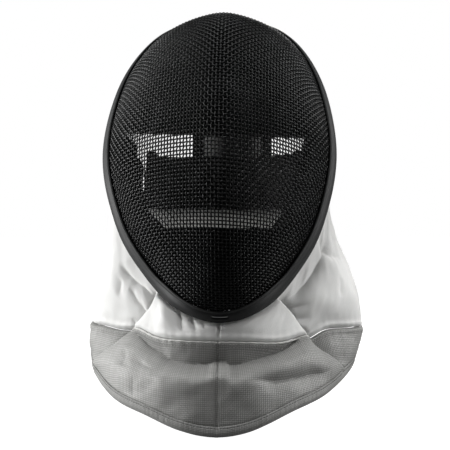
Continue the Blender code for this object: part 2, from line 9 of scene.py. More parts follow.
import bpy
import numpy as np
from bpy.props import FloatProperty, FloatVectorProperty, IntProperty, PointerProperty
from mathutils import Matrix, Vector


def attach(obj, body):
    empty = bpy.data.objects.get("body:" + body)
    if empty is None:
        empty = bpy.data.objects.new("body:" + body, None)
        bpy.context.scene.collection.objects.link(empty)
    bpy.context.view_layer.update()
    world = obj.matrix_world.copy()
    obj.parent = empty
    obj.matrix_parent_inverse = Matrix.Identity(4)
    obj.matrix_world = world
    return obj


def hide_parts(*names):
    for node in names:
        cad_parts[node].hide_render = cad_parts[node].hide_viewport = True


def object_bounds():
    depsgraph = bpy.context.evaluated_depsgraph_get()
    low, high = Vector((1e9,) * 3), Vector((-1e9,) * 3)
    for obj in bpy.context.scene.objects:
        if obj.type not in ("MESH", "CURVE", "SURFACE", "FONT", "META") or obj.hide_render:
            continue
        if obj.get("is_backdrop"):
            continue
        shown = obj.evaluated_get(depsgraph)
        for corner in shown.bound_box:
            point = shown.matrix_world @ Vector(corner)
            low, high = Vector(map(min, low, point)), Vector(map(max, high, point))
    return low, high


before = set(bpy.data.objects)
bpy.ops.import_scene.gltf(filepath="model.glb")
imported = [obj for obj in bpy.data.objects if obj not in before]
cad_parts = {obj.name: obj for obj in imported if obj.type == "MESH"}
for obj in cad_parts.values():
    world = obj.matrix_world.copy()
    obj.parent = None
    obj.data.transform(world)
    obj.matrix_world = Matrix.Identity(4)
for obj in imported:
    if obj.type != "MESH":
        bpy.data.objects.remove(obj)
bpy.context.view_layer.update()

bl_info = {
    "name": "Foil fencing mask",
    "version": (1, 0, 0),
    "blender": (4, 5, 0),
    "location": "3D View > Sidebar > Fencing mask",
    "description": "Dresses the packed fencing mask and sets up its studio",
    "category": "Object",
}

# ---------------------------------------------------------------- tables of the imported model
SEAT = np.array((0.0, 0.030, 0.253))
RIDGE_LEAN = 0.0045
MESH_WALL = 0.0020
RIDGE_ROUNDING = 0.12
EDGE_OPENING = 0.96
# ridge_y, ridge_z, half_width, edge_y, edge_z, ridge_share: one row for each bow, chin to back of the crown
MESH_ROWS = (
    (-0.0440, 0.0000, 0.0000, -0.0440, 0.0000, 0.42),
    (-0.0560, 0.0180, 0.0310, -0.0350, 0.0080, 0.42),
    (-0.0680, 0.0410, 0.0510, -0.0140, 0.0220, 0.42),
    (-0.0765, 0.0680, 0.0680, 0.0015, 0.0420, 0.42),
    (-0.0800, 0.0980, 0.0840, 0.0170, 0.0660, 0.42),
    (-0.0795, 0.1280, 0.0945, 0.0310, 0.0920, 0.42),
    (-0.0750, 0.1560, 0.1015, 0.0430, 0.1170, 0.42),
    (-0.0660, 0.1820, 0.1050, 0.0555, 0.1420, 0.40),
    (-0.0520, 0.2070, 0.1040, 0.0660, 0.1660, 0.38),
    (-0.0310, 0.2335, 0.0995, 0.0750, 0.1900, 0.36),
    (-0.0040, 0.2570, 0.0925, 0.0830, 0.2120, 0.33),
    (0.0260, 0.2725, 0.0815, 0.0900, 0.2325, 0.30),
    (0.0540, 0.2770, 0.0665, 0.0950, 0.2505, 0.30),
    (0.0800, 0.2750, 0.0440, 0.0985, 0.2625, 0.30),
    (0.1000, 0.2680, 0.0000, 0.1000, 0.2680, 0.30),
)
LAST_ROW = len(MESH_ROWS) - 1
FLAT_AT_ENDS = (False, False, False, True, True, False)
TRIM_CHIN_SHARE = 0.62
TRIM_CHIN_ROWS = (0.2, 2.0)
PAD_GAP = 0.0034
PAD_MARGIN = 0.0035
PAD_UNDER_TRIM = (0.0034, 0.0060, 0.0145)   # how much deeper the padding lies under the trim, and from where to where
BOW_STRETCH = 0.62
PAD_DEPTH = {"crown": 0.0190, "cheek": 0.0215, "chin": 0.0200}
PAD_BORDER = 0.30                           # share of its depth that a pad keeps near its border
PAD_FLANK = 0.25                            # and at it
PAD_ROUND = 0.009                           # way from the border over which the inner face rounds off
PAD_ROW = 0.0215                            # metres a row, from the chin on
CHANNEL_DIP = 0.42                          # share of its depth that a pad loses at a sewn channel
# Where the sewn channels lie, as shares of the pad's width, and in metres from the tongue's middle
CHANNELS = {"crown": (-0.36, 0.36), "chin": (-0.34, 0.34), "tongue": (-0.0103, 0.0103)}
SWELL_FRAMES = 20                           # of the cloth simulation
CROWN_ACROSS = 0.92
CROWN_BACK = (12.9, 1.5)
CHEEK_LOW_ROW = 3.40
# The cheek pads' inner edges, with the notch for the strap: mesh row, across
CHEEK_INNER = {
    "left": ((3.40, 0.530), (3.68, 0.570), (4.05, 0.680), (4.39, 0.790), (4.92, 0.915), (5.35, 0.845), (5.60, 0.785),
             (6.03, 0.680), (6.30, 0.665), (6.42, 0.715), (6.70, 0.545), (6.90, 0.440), (7.30, 0.360)),
    "right": ((3.40, 0.510), (3.68, 0.550), (4.00, 0.630), (4.34, 0.695), (5.08, 0.770), (5.60, 0.755), (6.05, 0.740),
              (6.38, 0.740), (6.50, 0.790), (6.74, 0.735), (7.07, 0.674), (7.30, 0.664)),
}
CHIN_ACROSS = 0.88
CHIN_LOW = (0.06, 0.35)
CHIN_SIDE_ROW = 3.39
CHIN_STEP = (0.64, 0.74)
FOREHEAD_LINE = 0.1626
FOREHEAD_TILT = 0.028
CHEEK_LINE = 0.1611
CHIN_LINE = 0.0803
SIGHT_SLOPE = 0.054
# half_width, start_y, reach, low_z, high_z
STRAPS = {
    "back": (0.0860, 0.0365, 0.1035, 0.0939, 0.1480),
    "neck": (0.0765, 0.0270, 0.1080, 0.0706, 0.0956),
}
STRAP_X = 0.0003
STRAP_THICK = 0.0026
RIB_HEIGHT = 0.00022                        # of the elastic's ribs, from their middle
SELVEDGE = 0.0011                           # radius of the strap's rounded edges
STITCH_LIFT = 0.0002                        # how far a stitch's line stands off the cloth
STRAP_TURN = 1.55
STRAP_SLANT = 0.0165                        # rise of the back strap's upper edge from left to right
TAB_HIGH = 0.1110
TAB_FROM = (0.0710, 0.0755)                 # where the left and the right tab begin
TAB_STEP = (0.046, 0.026)
TAB_RISE = (0.0046, 0.0024)                 # how far the strap's doubled end stands up beside each tab
TONGUE_X = 0.0100
TONGUE_HALF_WIDTH = 0.0385
TONGUE_BINDING = 0.0075
TONGUE_THICK = {"pad": 0.0060, "binding": 0.0046}
TONGUE_ROUND = 0.0750
TONGUE_CORNER = 0.0200
# How full the tongue's tape is, from its edge inwards
TONGUE_TAPE = (0.1, 0.5, 0.8, 1.0, 1.0, 1.0, 1.0, 0.9, 0.75)
TONGUE_LINE = (
    (0.0880, 0.2570),
    (0.1060, 0.2510),
    (0.1240, 0.2360),
    (0.1385, 0.2100),
    (0.1465, 0.1780),
    (0.1500, 0.1440),
    (0.1495, 0.1100),
)
BIB_WALL = 0.0050
BIB_BOW = {"upper": -0.0020, "lower": 0.0020}
BIB_ROWS_DOWN_JAW = 6.3
BIB_BEHIND_EDGE = 0.0050
BIB_UNDER_EDGE = 0.0012
PANEL_GAP = 0.0006
# around, seam_x, seam_y, seam_z, hem_x, hem_y, hem_z
BIB_TABLE = (
    (0.00, 0.0000, -0.0480, -0.0205, 0.0000, -0.0800, -0.0960),
    (0.17, 0.0300, -0.0440, -0.0205, 0.0330, -0.0750, -0.0905),
    (0.34, 0.0560, -0.0290, -0.0190, 0.0640, -0.0580, -0.0785),
    (0.50, 0.0770, -0.0080, -0.0110, 0.0915, -0.0310, -0.0690),
    (0.66, 0.1020, 0.0140, -0.0095, 0.1112, 0.0035, -0.0560),
    (0.82, 0.1230, 0.0440, -0.0100, 0.1205, 0.0400, -0.0410),
    (1.00, 0.1210, 0.0860, -0.0050, 0.1135, 0.0840, -0.0250),
)
BIB_FLAT_AT_ENDS = (False, True, True, False, True, True)
BIB_LEAN = (0.0035, 0.0080)
BIB_TWIST = 0.0025
HEM_LEAN = 0.0012
HEM_CORNER = 0.0032                         # how much less the right corner of the hem stands out
SEAM_DIP = (0.0055, 0.0048)                 # how much lower the seam runs on the left and the right side panel
HEM_WIDTH = 0.0090
HEM_THICK = 0.0066
HEM_OVERLAP = 0.0016                        # the cloth runs this far into the binding
SEAM_BLEND = 0.25

# ---------------------------------------------------------------- finer forms of this file
# Mesh row, and how much wider than the pitch the wires lie there
RIDGE_STRETCH = ((0.0, 0.78), (2.0, 0.82), (2.8, 0.93), (4.1, 1.02), (4.7, 1.02), (6.6, 1.06), (7.6, 1.11),
                 (14.0, 1.12))
SIDE_STRETCH = (0.26, 0.090)                # how much wider the wires lie at the sides, and from how far on
WIRE_TILT = 0.045                           # fall of the wires across, from left to right
WIRE_CURL = 0.60                            # how much of the bow's own fall a wire takes on at its ends
WIRE_END = 0.0016                           # how far inside the edge the wires end
LEVEL_ROWS = (9.6, 11.4)                    # from where to where on the crown the wires come to lie level
# Mesh row, and the share of the bow's fall that a wire follows there
WIRE_SAG = ((0.0, -0.30), (2.0, -0.20), (2.8, 0.05), (4.1, 0.30), (4.7, 0.38), (6.6, 0.42), (8.6, 0.52), (11.0, 1.0))
# The trim's section, with its rounded lip, its shallow groove and its rolled rim: inward and height, in
# tenths of a millimetre
TRIM_SECTION = (
    (146, 8), (151, 12), (153, 20), (148, 27), (139, 30), (130, 28), (122, 23), (114, 22), (106, 26), (96, 32),
    (86, 36), (76, 39), (66, 41), (58, 42), (51, 42), (44, 42), (37, 42), (30, 42), (23, 42), (16, 41), (9, 40),
    (2, 39), (-5, 37), (-12, 34), (-19, 29), (-26, 22), (-31, 12), (-34, -2), (-35, -18), (-34, -32), (-29, -44),
    (-18, -51), (0, -55), (40, -57), (78, -56), (83, -52), (85, -44), (82, -36), (76, -33), (40, -33), (-3, -32),
    (-6, -26), (-6, 4), (-2, 8), (40, 8), (80, 8), (120, 8),
)
TRIM_GROOVE = (0.0040, 0.0010, 0.0005)      # place, half width and depth of the groove along the band
GROOVE_ROWS = (2.5, 6.0)                    # from where to where up the sides the groove opens
TRIM_TOP = (4, 27)                          # the section's corners between which its top lies
CHIN_FINE = (0.011, 37)                     # to each side of the chin the sections lie closer, and how many
CHIN_SLOT = (0.0068, 0.0059, 0.0010, 0.0028)   # half length, place, half width and depth of the slot at the chin
SLOT_LIP = (0.0008, 0.0082, 0.0008)         # height, place and half width of the lip beside the slot
CHIN_SHALLOW = 0.45                         # how much less the rolled rim hangs down at the chin
# Where the trim is painted paler, as wear and painted highlight: how much, place and half width, on the lip, along
# the rim and beside the slot
WEAR_AND_PAINTED_HIGHLIGHT = ((1.0, 0.0143, 0.0007), (0.8, -0.0026, 0.0009), (2.6, 0.0081, 0.0007))
# Where each fold lies: around at the part's upper line, around at its lower line, and the power of its course
FOLDS = {
    ("upper", -1): (0.375, 0.505, 1.8),
    ("upper", 1): (0.310, 0.488, 1.0),
    ("lower", -1): (0.505, 0.745, 0.85),
    ("lower", 1): (0.488, 0.660, 1.1),
}
FOLD_UNIT = 0.20                            # metres of cloth to one unit around, near the folds
FOLD_STAND = 0.0026                         # how far the front panel's edge stands over the bib's base
# Depth and reach of the side panel's fall towards the fold
FOLD_TUCK = {"upper": (0.0088, 0.0078), "lower": (0.0088, 0.0117)}
FOLD_UNDER = 0.0060                         # how far the side panel runs on under the front one
# The valley under the chin on the lame: around, down
CHIN_VALLEY = ((-0.56, 0.0), (-0.505, 0.055), (-0.470, 0.078), (-0.420, 0.110), (-0.355, 0.152), (-0.290, 0.172),
               (-0.245, 0.222), (-0.105, 0.228), (-0.045, 0.208), (-0.020, 0.178), (0.034, 0.172), (0.055, 0.222),
               (0.080, 0.226), (0.140, 0.196), (0.230, 0.134), (0.300, 0.084), (0.360, 0.045), (0.43, 0.016),
               (0.50, 0.0))
VALLEY_DEPTH = 0.0118
VALLEY_REACH = 0.0095                       # over how much cloth the valley's lower side rises again
# Creases of the bib: part, whether on the front panel, depth, reach to the left and to the right of the line's
# direction, and the line that they follow as (around, down) places
CREASES = (
    ("upper", True, 0.0026, 0.0050, 0.0022, ((-0.182, 0.06), (-0.176, 0.42), (-0.174, 0.80))),
    ("upper", True, 0.0022, 0.0026, 0.0030, ((-0.118, 0.06), (-0.111, 0.42), (-0.108, 0.72))),
    ("upper", True, 0.0008, 0.0024, 0.0024, ((-0.066, 0.10), (-0.062, 0.55))),
    ("upper", False, 0.0042, 0.0045, 0.0065, ((-0.690, 0.320), (-0.635, 0.325), (-0.560, 0.331), (-0.480, 0.294),
                                              (-0.395, 0.250))),
    ("upper", False, 0.0034, 0.0040, 0.0040, ((-0.595, 0.46), (-0.550, 0.525), (-0.525, 0.581), (-0.480, 0.631),
                                              (-0.450, 0.72))),
    ("upper", False, 0.0014, 0.0040, 0.0050, ((-0.650, 0.42), (-0.640, 0.64))),
    ("upper", False, 0.0016, 0.0022, 0.0022, ((-0.535, 0.84), (-0.520, 0.98))),
    ("upper", False, 0.0046, 0.0075, 0.0050, ((0.790, 0.250), (0.725, 0.281), (0.630, 0.319), (0.555, 0.338),
                                              (0.495, 0.338), (0.445, 0.312), (0.375, 0.190))),
    ("upper", False, 0.0044, 0.0036, 0.0030, ((0.335, 0.080), (0.370, 0.213), (0.390, 0.331), (0.435, 0.463),
                                              (0.540, 0.600))),
    ("upper", False, 0.0040, 0.0036, 0.0030, ((0.355, 0.290), (0.395, 0.481), (0.430, 0.619), (0.535, 0.780))),
    ("upper", False, -0.0016, 0.0020, 0.0016, ((0.440, 0.680), (0.480, 0.800), (0.525, 0.930))),
    ("upper", False, 0.0022, 0.0016, 0.0030, ((0.450, 0.780), (0.490, 0.880), (0.530, 0.980))),
    ("upper", False, 0.0012, 0.0030, 0.0030, ((0.775, 0.540), (0.710, 0.700))),
    ("upper", False, 0.0036, 0.0080, 0.0030, ((0.725, 0.060), (0.735, 0.230), (0.800, 0.370), (0.880, 0.440))),
    ("lower", True, 0.0085, 0.0100, 0.0055, ((0.550, 0.660), (0.490, 0.630), (0.405, 0.580), (0.330, 0.531),
                                             (0.215, 0.480), (0.120, 0.460))),
    ("lower", True, 0.0026, 0.0060, 0.0080, ((-0.430, 0.420), (-0.370, 0.400), (-0.300, 0.420), (-0.230, 0.450))),
    ("lower", True, 0.0018, 0.0060, 0.0060, ((-0.500, 0.300), (-0.470, 0.420), (-0.480, 0.560))),
    ("lower", True, 0.0014, 0.0040, 0.0050, ((-0.395, 0.600), (-0.400, 0.860))),
)
# The bib's relief over its base
FOLD_LIP = (0.0016, 0.0024)                 # depth and reach of the front panel's rounded edge
FOLD_CLOSE = (0.55, 0.92)                   # from where to where down the lower part the folds close
FOLD_HIDE = (0.45, 0.80)                    # from where to where down it the side panels come out from under
FOLD_START = 0.22                           # share of the upper part over which the folds open
UPPER_SWELL = (0.0046, 0.0012)              # of the front panel and of a side panel
SIDE_SWAY = (0.0014, 0.0048)                # in above and out below the middle of the left and the right panel
LEFT_PUFF = (0.0052, -0.270, 0.055)         # height, place around and half width of the puff beside the chin
LAME_SWELL = (0.0062, 0.35)                 # height at the middle and the share of it at the folds and beside them
LAME_PUFF = (0.0042, 0.0200, 0.0095)        # height, way under the valley's line and half width
VALLEY_SIDES, PUFF_SIDES = 0.56, 0.42       # how far around the valley and the puff below it reach
BORDER_DRAW = (0.0016, 0.0035, 0.6)         # depth, reach, and share of it on the outer face
SEAM_RIDGE = (0.0011, 0.0028, 0.0024)       # height, way from the seam and half width
SEAM_DRAW = (0.0014, 0.0008, 0.0015)        # depth on the front panel and on the others, and half width
PUCKER = (0.00028, 0.0085, 0.005)           # height, length and reach of the short wave beside the seam
UNEVEN = ((0.0009, 0.040, 11), (0.00035, 0.016, 12))   # height, size and seed
MIDDLE_SEAM = (0.0022, 0.0006, 0.0011)      # depth, way to the left and half width
SEAM_STITCHES = (0.0030, 0.0052)            # ways below the seam
# The hem's tape from its inner edge outwards: way towards the hem, and height over the cloth beside it
HEM_FACE = ((PANEL_GAP, -0.0007), (0.0014, 0.0), (0.0022, -0.0004), (0.0030, 0.0), (0.0042, 0.0))
HEM_BACK = ((0.0042, 0.0), (0.0022, 0.0), (PANEL_GAP, 0.0006))
HEM_WAVE = (0.00011, 0.0041, 2.4)           # height and length of the tape's ripple, and how much it wanders
HEM_UNEVEN = (0.00025, 0.016)               # height and size of its unevenness

# ---------------------------------------------------------------- studio
VIEW_MIDDLE = (0.0072, -0.030, 0.08075 - 0.253)
VIEW_TURN = 2.0                             # degrees to the left
VIEW_AWAY = 1.275
REAR_TOP_SHARE = 0.3                        # of the light above
BACK_POWER = 9.0
# name, place from the middle of the view, width
LIGHTS = (
    ("key_light", (-1.85, 0.26, 0.30), 0.9),
    ("right_light", (1.70, 0.28, 0.62), 0.8),
    ("top_light", (-0.15, -0.34, 1.75), 0.9),
    ("rear_top_light", (-0.05, 0.25, 1.80), 0.9),
    ("back_light", (0.20, 1.50, 0.75), 0.8),
)


# ---------------------------------------------------------------- curves through the tables
def spline_bends(values, flat_ends):
    """Second differences of the cubic through evenly spaced values; each end is either straight or level."""
    count = len(values)
    system = np.diag(np.full(count, 4.0)) + np.diag(np.ones(count - 1), 1) + np.diag(np.ones(count - 1), -1)
    right = np.zeros(count)
    right[1:-1] = 6 * (values[2:] - 2 * values[1:-1] + values[:-2])
    if flat_ends:
        system[0, :2] = (2.0, 1.0)
        system[-1, -2:] = (1.0, 2.0)
        right[0] = 6 * (values[1] - values[0])
        right[-1] = -6 * (values[-1] - values[-2])
    else:
        system[0, :2] = (1.0, 0.0)
        system[-1, -2:] = (0.0, 1.0)
    return np.linalg.solve(system, right)


def through_rows(table, at, flat_ends=None):
    """Natural or level-ended cubic between a table's rows; `at` counts rows from 0."""
    values = np.array(table, dtype=float)
    flat_ends = flat_ends or (False,) * values.shape[1]
    bends = np.stack([spline_bends(values[:, i], flat_ends[i]) for i in range(values.shape[1])], axis=1)
    at = np.asarray(at, dtype=float)
    low = np.clip(np.floor(at).astype(int), 0, len(values) - 2)
    f = (at - low)[..., None]
    g = 1 - f
    return (g * values[low] + f * values[low + 1]
            + (g ** 3 - g) * bends[low] / 6 + (f ** 3 - f) * bends[low + 1] / 6)


def unit(vectors):
    """Each vector divided by its length."""
    return vectors / np.maximum(np.linalg.norm(vectors, axis=-1, keepdims=True), 1e-12)


def smooth_step(low, high, value):
    """0 below low, 1 above high, and 3t^2 - 2t^3 between them."""
    share = np.clip((value - low) / (high - low), 0, 1)
    return share * share * (3 - 2 * share)


def bump(value, middle, width):
    """Bell exp(-((value - middle) / width)^2)."""
    return np.exp(-((value - middle) / width) ** 2)


def run_along(points, axis=0):
    """Distance walked along a line of points, 0 at its first point."""
    step = np.linalg.norm(np.diff(points, axis=axis), axis=-1)
    start = np.zeros_like(np.take(step, [0], axis=axis))
    return np.concatenate((start, np.cumsum(step, axis=axis)), axis=axis)


def resampled(points, count, closed=False):
    """The same line with `count` evenly spaced points."""
    line = np.concatenate((points, points[:1])) if closed else points
    run = run_along(line)
    marks = np.linspace(0, run[-1], count, endpoint=not closed)
    return np.stack([np.interp(marks, run, line[:, i]) for i in range(line.shape[1])], axis=-1)


def soft_noise(u, v, size, seed):
    """Smooth irregular value from -1 to 1: a sum of seven sines of about that size, in fixed random directions."""
    draw = np.random.default_rng(seed)
    turn = draw.uniform(0, 2 * math.pi, (7, 2))
    stretch = draw.uniform(0.6, 1.7, 7)
    waves = [np.sin(2 * math.pi * s / size * (u * math.cos(a) + v * math.sin(a)) + b)
             for (a, b), s in zip(turn, stretch)]
    return sum(waves) / 7


def arch(share):
    """Half sine: 0 at 0 and at 1, and 1 halfway."""
    return np.sin(math.pi * share)


def rounded(away, radius):
    """Quarter circle: 0 at a border, and 1 from `radius` on."""
    return np.sqrt(1 - (1 - np.minimum(1, away / radius)) ** 2)


def paired(*values):
    """Arrays that broadcast to one shape, side by side on a new last axis."""
    return np.stack(np.broadcast_arrays(*values), axis=-1)


def border_of(grid):
    """A grid's border in order, each place once."""
    return np.concatenate((grid[:, 0], grid[-1, 1:], grid[-2::-1, -1], grid[0, -2:0:-1]))


def evened(values, weights):
    """Weighted mean of each row and its neighbours on a closed line."""
    middle = len(weights) // 2
    return sum(w * np.roll(values, i - middle, axis=0) for i, w in enumerate(weights)) / sum(weights)


def between(low, high, count):
    """Evenly spaced values from low to high, on a new axis."""
    return low[:, None] + (high - low)[:, None] * np.linspace(0, 1, count)


def side_of(value):
    """-1 on the left and 1 on the right."""
    return np.where(value < 0, -1.0, 1.0)


# ---------------------------------------------------------------- the wire's surface
def mesh_point(across, row, ridge=1.0):
    """Point of the wire's outer face: -1 to 1 across a bow, and rows of the table from chin to crown.

    A bow lies in the plane of its ridge point and its edge points. Its depth is the sum of a rounded V, which
    makes the ridge, and of a circle's arc, which makes the sides. ridge=0 leaves the V out.
    """
    across, row = np.broadcast_arrays(np.asarray(across, float), np.asarray(row, float))
    ridge_y, ridge_z, width, edge_y, edge_z, share = np.moveaxis(through_rows(MESH_ROWS, row, FLAT_AT_ENDS), -1, 0)

    def reach(side, turn):
        vee = np.sqrt(side ** 2 + RIDGE_ROUNDING ** 2) - RIDGE_ROUNDING
        return share * ridge * vee + (1 - np.cos(turn)) / EDGE_OPENING ** 2

    full_turn = math.asin(EDGE_OPENING)
    side = np.sin(across * full_turn) / EDGE_OPENING
    depth = reach(side, across * full_turn) / reach(1.0, full_turn)
    widest = max(line[2] for line in MESH_ROWS)
    edge_middle = RIDGE_LEAN * (1 - (width / widest) ** 2)
    x = RIDGE_LEAN + side * (width + np.sign(side) * (edge_middle - RIDGE_LEAN))
    return np.stack((x, ridge_y + (edge_y - ridge_y) * depth, ridge_z + (edge_z - ridge_z) * depth), axis=-1)


def mesh_normal(across, row, ridge=1.0):
    """Outward normal of mesh_point, from differences over a small step."""
    step = 1e-3
    across, row = np.broadcast_arrays(np.asarray(across, float), np.asarray(row, float))
    row = np.clip(row, 0.25, LAST_ROW - 0.25)
    left, right = np.clip(across - step, -1, 1), np.clip(across + step, -1, 1)
    along_bow = mesh_point(right, row, ridge) - mesh_point(left, row, ridge)
    along_ridge = mesh_point(across, row + step, ridge) - mesh_point(across, row - step, ridge)
    return unit(np.cross(along_bow, along_ridge))


def bow_width(row):
    """Half the width of the bow through a row."""
    return through_rows(MESH_ROWS, row, FLAT_AT_ENDS)[..., 2]


def laid_on_mesh(points, bows=121, rows=225):
    """Each point moved to the tangent plane of the nearest of a grid of places on the wire, with its normal."""
    across, row = np.meshgrid(np.linspace(-1, 1, bows), np.linspace(0.02, LAST_ROW - 0.02, rows), indexing="ij")
    places, normals = (values.reshape(-1, 3) for values in (mesh_point(across, row), mesh_normal(across, row)))
    flat = points.reshape(-1, 3)
    own = (places ** 2).sum(1)
    nearest = np.concatenate([np.argmin(own - 2 * flat[start:start + 512] @ places.T, axis=1)
                              for start in range(0, len(flat), 512)])
    n = normals[nearest]
    laid = flat - n * ((flat - places[nearest]) * n).sum(1, keepdims=True)
    return laid.reshape(points.shape), n.reshape(points.shape)


def edge_point(loop):
    """Point of the mesh's edge; loop is minus the row on the left, plus the row on the right, and wraps round."""
    loop = (loop + LAST_ROW) % (2 * LAST_ROW) - LAST_ROW
    return mesh_point(side_of(loop), np.abs(loop))


def edge_frame(loop):
    """Edge point, outward normal and the direction beyond the edge."""
    step = 0.02
    tangent = unit(edge_point(loop + step) - edge_point(loop - step))
    size = np.abs(loop)
    near, far = 0.5, LAST_ROW - 0.5
    own, other = (mesh_normal(side, np.clip(size, near, far)) for side in (side_of(loop), -side_of(loop)))
    mix = np.clip(np.maximum((near - size) / near, (size - far) / (LAST_ROW - far)), 0, 1)[..., None]
    normal = own * (1 - mix / 2) + other * mix / 2
    normal = unit(normal - tangent * (normal * tangent).sum(-1, keepdims=True))
    return edge_point(loop), normal, np.cross(tangent, normal)


# ---------------------------------------------------------------- mesh objects
def mesh_object(name, points, faces, finishes, face_finish=None, uv=None, marks=None, sharp=None):
    """Mesh object with its place in its mesh. points are in the tables' coordinates, faces are arrays of corners."""
    mesh = bpy.data.meshes.new(name)
    flat = points.reshape(-1, 3) - SEAT
    mesh.from_pydata(flat.tolist(), [], [face for block in faces for face in block.tolist()])
    for finish in finishes:
        mesh.materials.append(finish)
    if face_finish is not None:
        mesh.polygons.foreach_set("material_index", face_finish.astype(np.int32))
    if uv is not None:
        corners = np.empty(len(mesh.loops), dtype=np.int32)
        mesh.loops.foreach_get("vertex_index", corners)
        layer = mesh.uv_layers.new(name="cloth")
        layer.data.foreach_set("uv", uv.reshape(-1, 2)[corners].astype(np.float32).ravel())
    for label, values in (marks or {}).items():
        layer = mesh.attributes.new(label, "FLOAT", "POINT")
        layer.data.foreach_set("value", values.astype(np.float32).ravel())
    mesh.shade_smooth()
    if sharp is not None:
        mesh.set_sharp_from_angle(angle=math.radians(sharp))
    mesh.update()
    thing = bpy.data.objects.new(name, mesh)
    bpy.context.scene.collection.objects.link(thing)
    return thing


def slab_faces(rows, columns):
    """Front, back and side quads of a closed slab made of two grids, the outer one first.

    The front faces along d(row) x d(column).
    """
    count = rows * columns
    index = np.arange(count).reshape(rows, columns)
    front = np.stack((index[:-1, :-1], index[1:, :-1], index[1:, 1:], index[:-1, 1:]), axis=-1).reshape(-1, 4)
    border = border_of(index)
    after = np.roll(border, -1)
    return front, front[:, ::-1] + count, np.stack((after, border, border + count, after + count), axis=-1)


def slab(name, outer, inner, finish, uv, lining=None, marks=None, sharp=None):
    """Closed slab between two grids of the same size; lining is the finish of its inner face."""
    faces = slab_faces(*outer.shape[:2])
    finishes, face_finish = [finish], None
    if lining is not None:
        finishes.append(lining)
        face_finish = np.repeat((0, 1, 0), [len(block) for block in faces])
    marks = {label: np.tile(values.ravel(), 2) for label, values in (marks or {}).items()}
    points = np.concatenate((outer.reshape(-1, 3), inner.reshape(-1, 3)))
    return mesh_object(name, points, faces, finishes, face_finish, np.tile(uv.reshape(-1, 2), (2, 1)), marks, sharp)


def ring_faces(count, sides, closed):
    """Quads between rings of points, and the two end caps where the tube isn't closed."""
    index = np.arange(count * sides).reshape(count, sides)
    here, following = (index, np.roll(index, -1, axis=0)) if closed else (index[:-1], index[1:])
    return [ring_quads(here, following)] + ([] if closed else [index[:1], index[-1:, ::-1]])


def ring_quads(here, following):
    """Quads from rings of corners to the rings that follow them."""
    return np.stack((here, following, np.roll(following, -1, -1), np.roll(here, -1, -1)), axis=-1).reshape(-1, 4)


def rings_round(line, along, normal, radius, turn):
    """Ring at each place: radius * (cos turn * side + sin turn * up), side = along x normal, up = side x along."""
    side = unit(np.cross(along, normal))
    up = np.cross(side, along)
    return line[..., None, :] + radius * (np.cos(turn)[:, None] * side[..., None, :]
                                          + np.sin(turn)[:, None] * up[..., None, :])


def tube(name, line, normal, radius, finish, closed=False, sides=8):
    """Round cord along a line."""
    along = np.roll(line, -1, axis=0) - np.roll(line, 1, axis=0) if closed else np.gradient(line, axis=0)
    turn = 2 * math.pi * np.arange(sides) / sides
    rings = rings_round(line, unit(along), normal, radius, turn)
    uv = paired(run_along(line)[:, None], turn * radius)
    return mesh_object(name, rings, ring_faces(len(line), sides, closed), [finish], uv=uv, sharp=60)


def stitches(name, line, normal, finish, slot, pitch=0.0030, length=0.0021, radius=0.00024):
    """A row of thread stitches along a line, each a short capsule whose two ends dip into the cloth."""
    run = run_along(line)
    places = np.arange(pitch / 2, run[-1], pitch)
    centre, along, up = (np.stack([np.interp(places, run, column) for column in values.T], axis=-1)
                         for values in (line, unit(np.gradient(line, axis=0)), normal))
    along, up = unit(along), unit(up)
    thick = np.array((0.35, 1.0, 1.15, 1.0, 0.35)) * radius
    lift = np.array((-1.1, 0.3, 0.55, 0.3, -1.1)) * radius
    turn = 2 * math.pi * np.arange(5) / 5
    shape = paired(np.array((-1.0, -0.62, 0.0, 0.62, 1.0))[:, None] * length / 2,
                   thick[:, None] * np.cos(turn), thick[:, None] * np.sin(turn) + lift[:, None])
    axes = np.stack((along, unit(np.cross(along, up)), up), axis=1)
    points = centre[:, None, None] + np.einsum("rsk,nkc->nrsc", shape, axes)
    start = 25 * np.arange(len(places))[:, None, None]
    faces = [(block + start).reshape(-1, block.shape[1]) for block in ring_faces(5, 5, False)]
    return keep(mesh_object(name, points, faces, [finish]), slot)


def keep(thing, slot, *nodes, fill=None):
    """The piece rides on the root body and stands for these nodes, which it hides; slot is not used."""
    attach(thing, "root")
    if nodes:
        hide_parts(*nodes)
    return thing


# ---------------------------------------------------------------- shader nodes
def is_link(value):
    """Whether a value comes from another node's socket."""
    return isinstance(value, bpy.types.NodeSocket)


def put(tree, sockets, values):
    """Each socket takes a link from another socket, or a plain value."""
    for label, value in values.items():
        if is_link(value):
            tree.links.new(value, sockets[label])
        else:
            sockets[label].default_value = value


def node(tree, kind, sockets=None, **settings):
    """One shader node with its settings and the values or links of its input sockets."""
    made = tree.nodes.new("ShaderNode" + kind)
    for label, value in settings.items():
        setattr(made, label, value)
    put(tree, made.inputs, sockets or {})
    return made


def maths(tree, operation, *values, clamp=False):
    """Output of a Math node."""
    return node(tree, "Math", dict(enumerate(values)), operation=operation, use_clamp=clamp).outputs[0]


def product(tree, first, second):
    """Output of a Math node that multiplies."""
    return maths(tree, "MULTIPLY", first, second)


def span(tree, value, from_low, from_high, to_low=0.0, to_high=1.0):
    """Value carried from one range to another and held inside it."""
    return node(tree, "MapRange", {"Value": value, "From Min": from_low, "From Max": from_high,
                                   "To Min": to_low, "To Max": to_high}).outputs["Result"]


def noise(tree, place, scale, detail, roughness=0.5):
    """Smooth noise from 0 to 1."""
    return node(tree, "TexNoise", {"Vector": place, "Scale": scale, "Detail": detail,
                                   "Roughness": roughness}).outputs[0]


def mark(tree, label):
    """Value that the piece's mesh carries under that label."""
    return node(tree, "Attribute", attribute_name=label, attribute_type="GEOMETRY").outputs["Fac"]


def shade(colour, share):
    """The colour, darker or lighter."""
    return tuple(min(1.0, c * share) for c in colour)


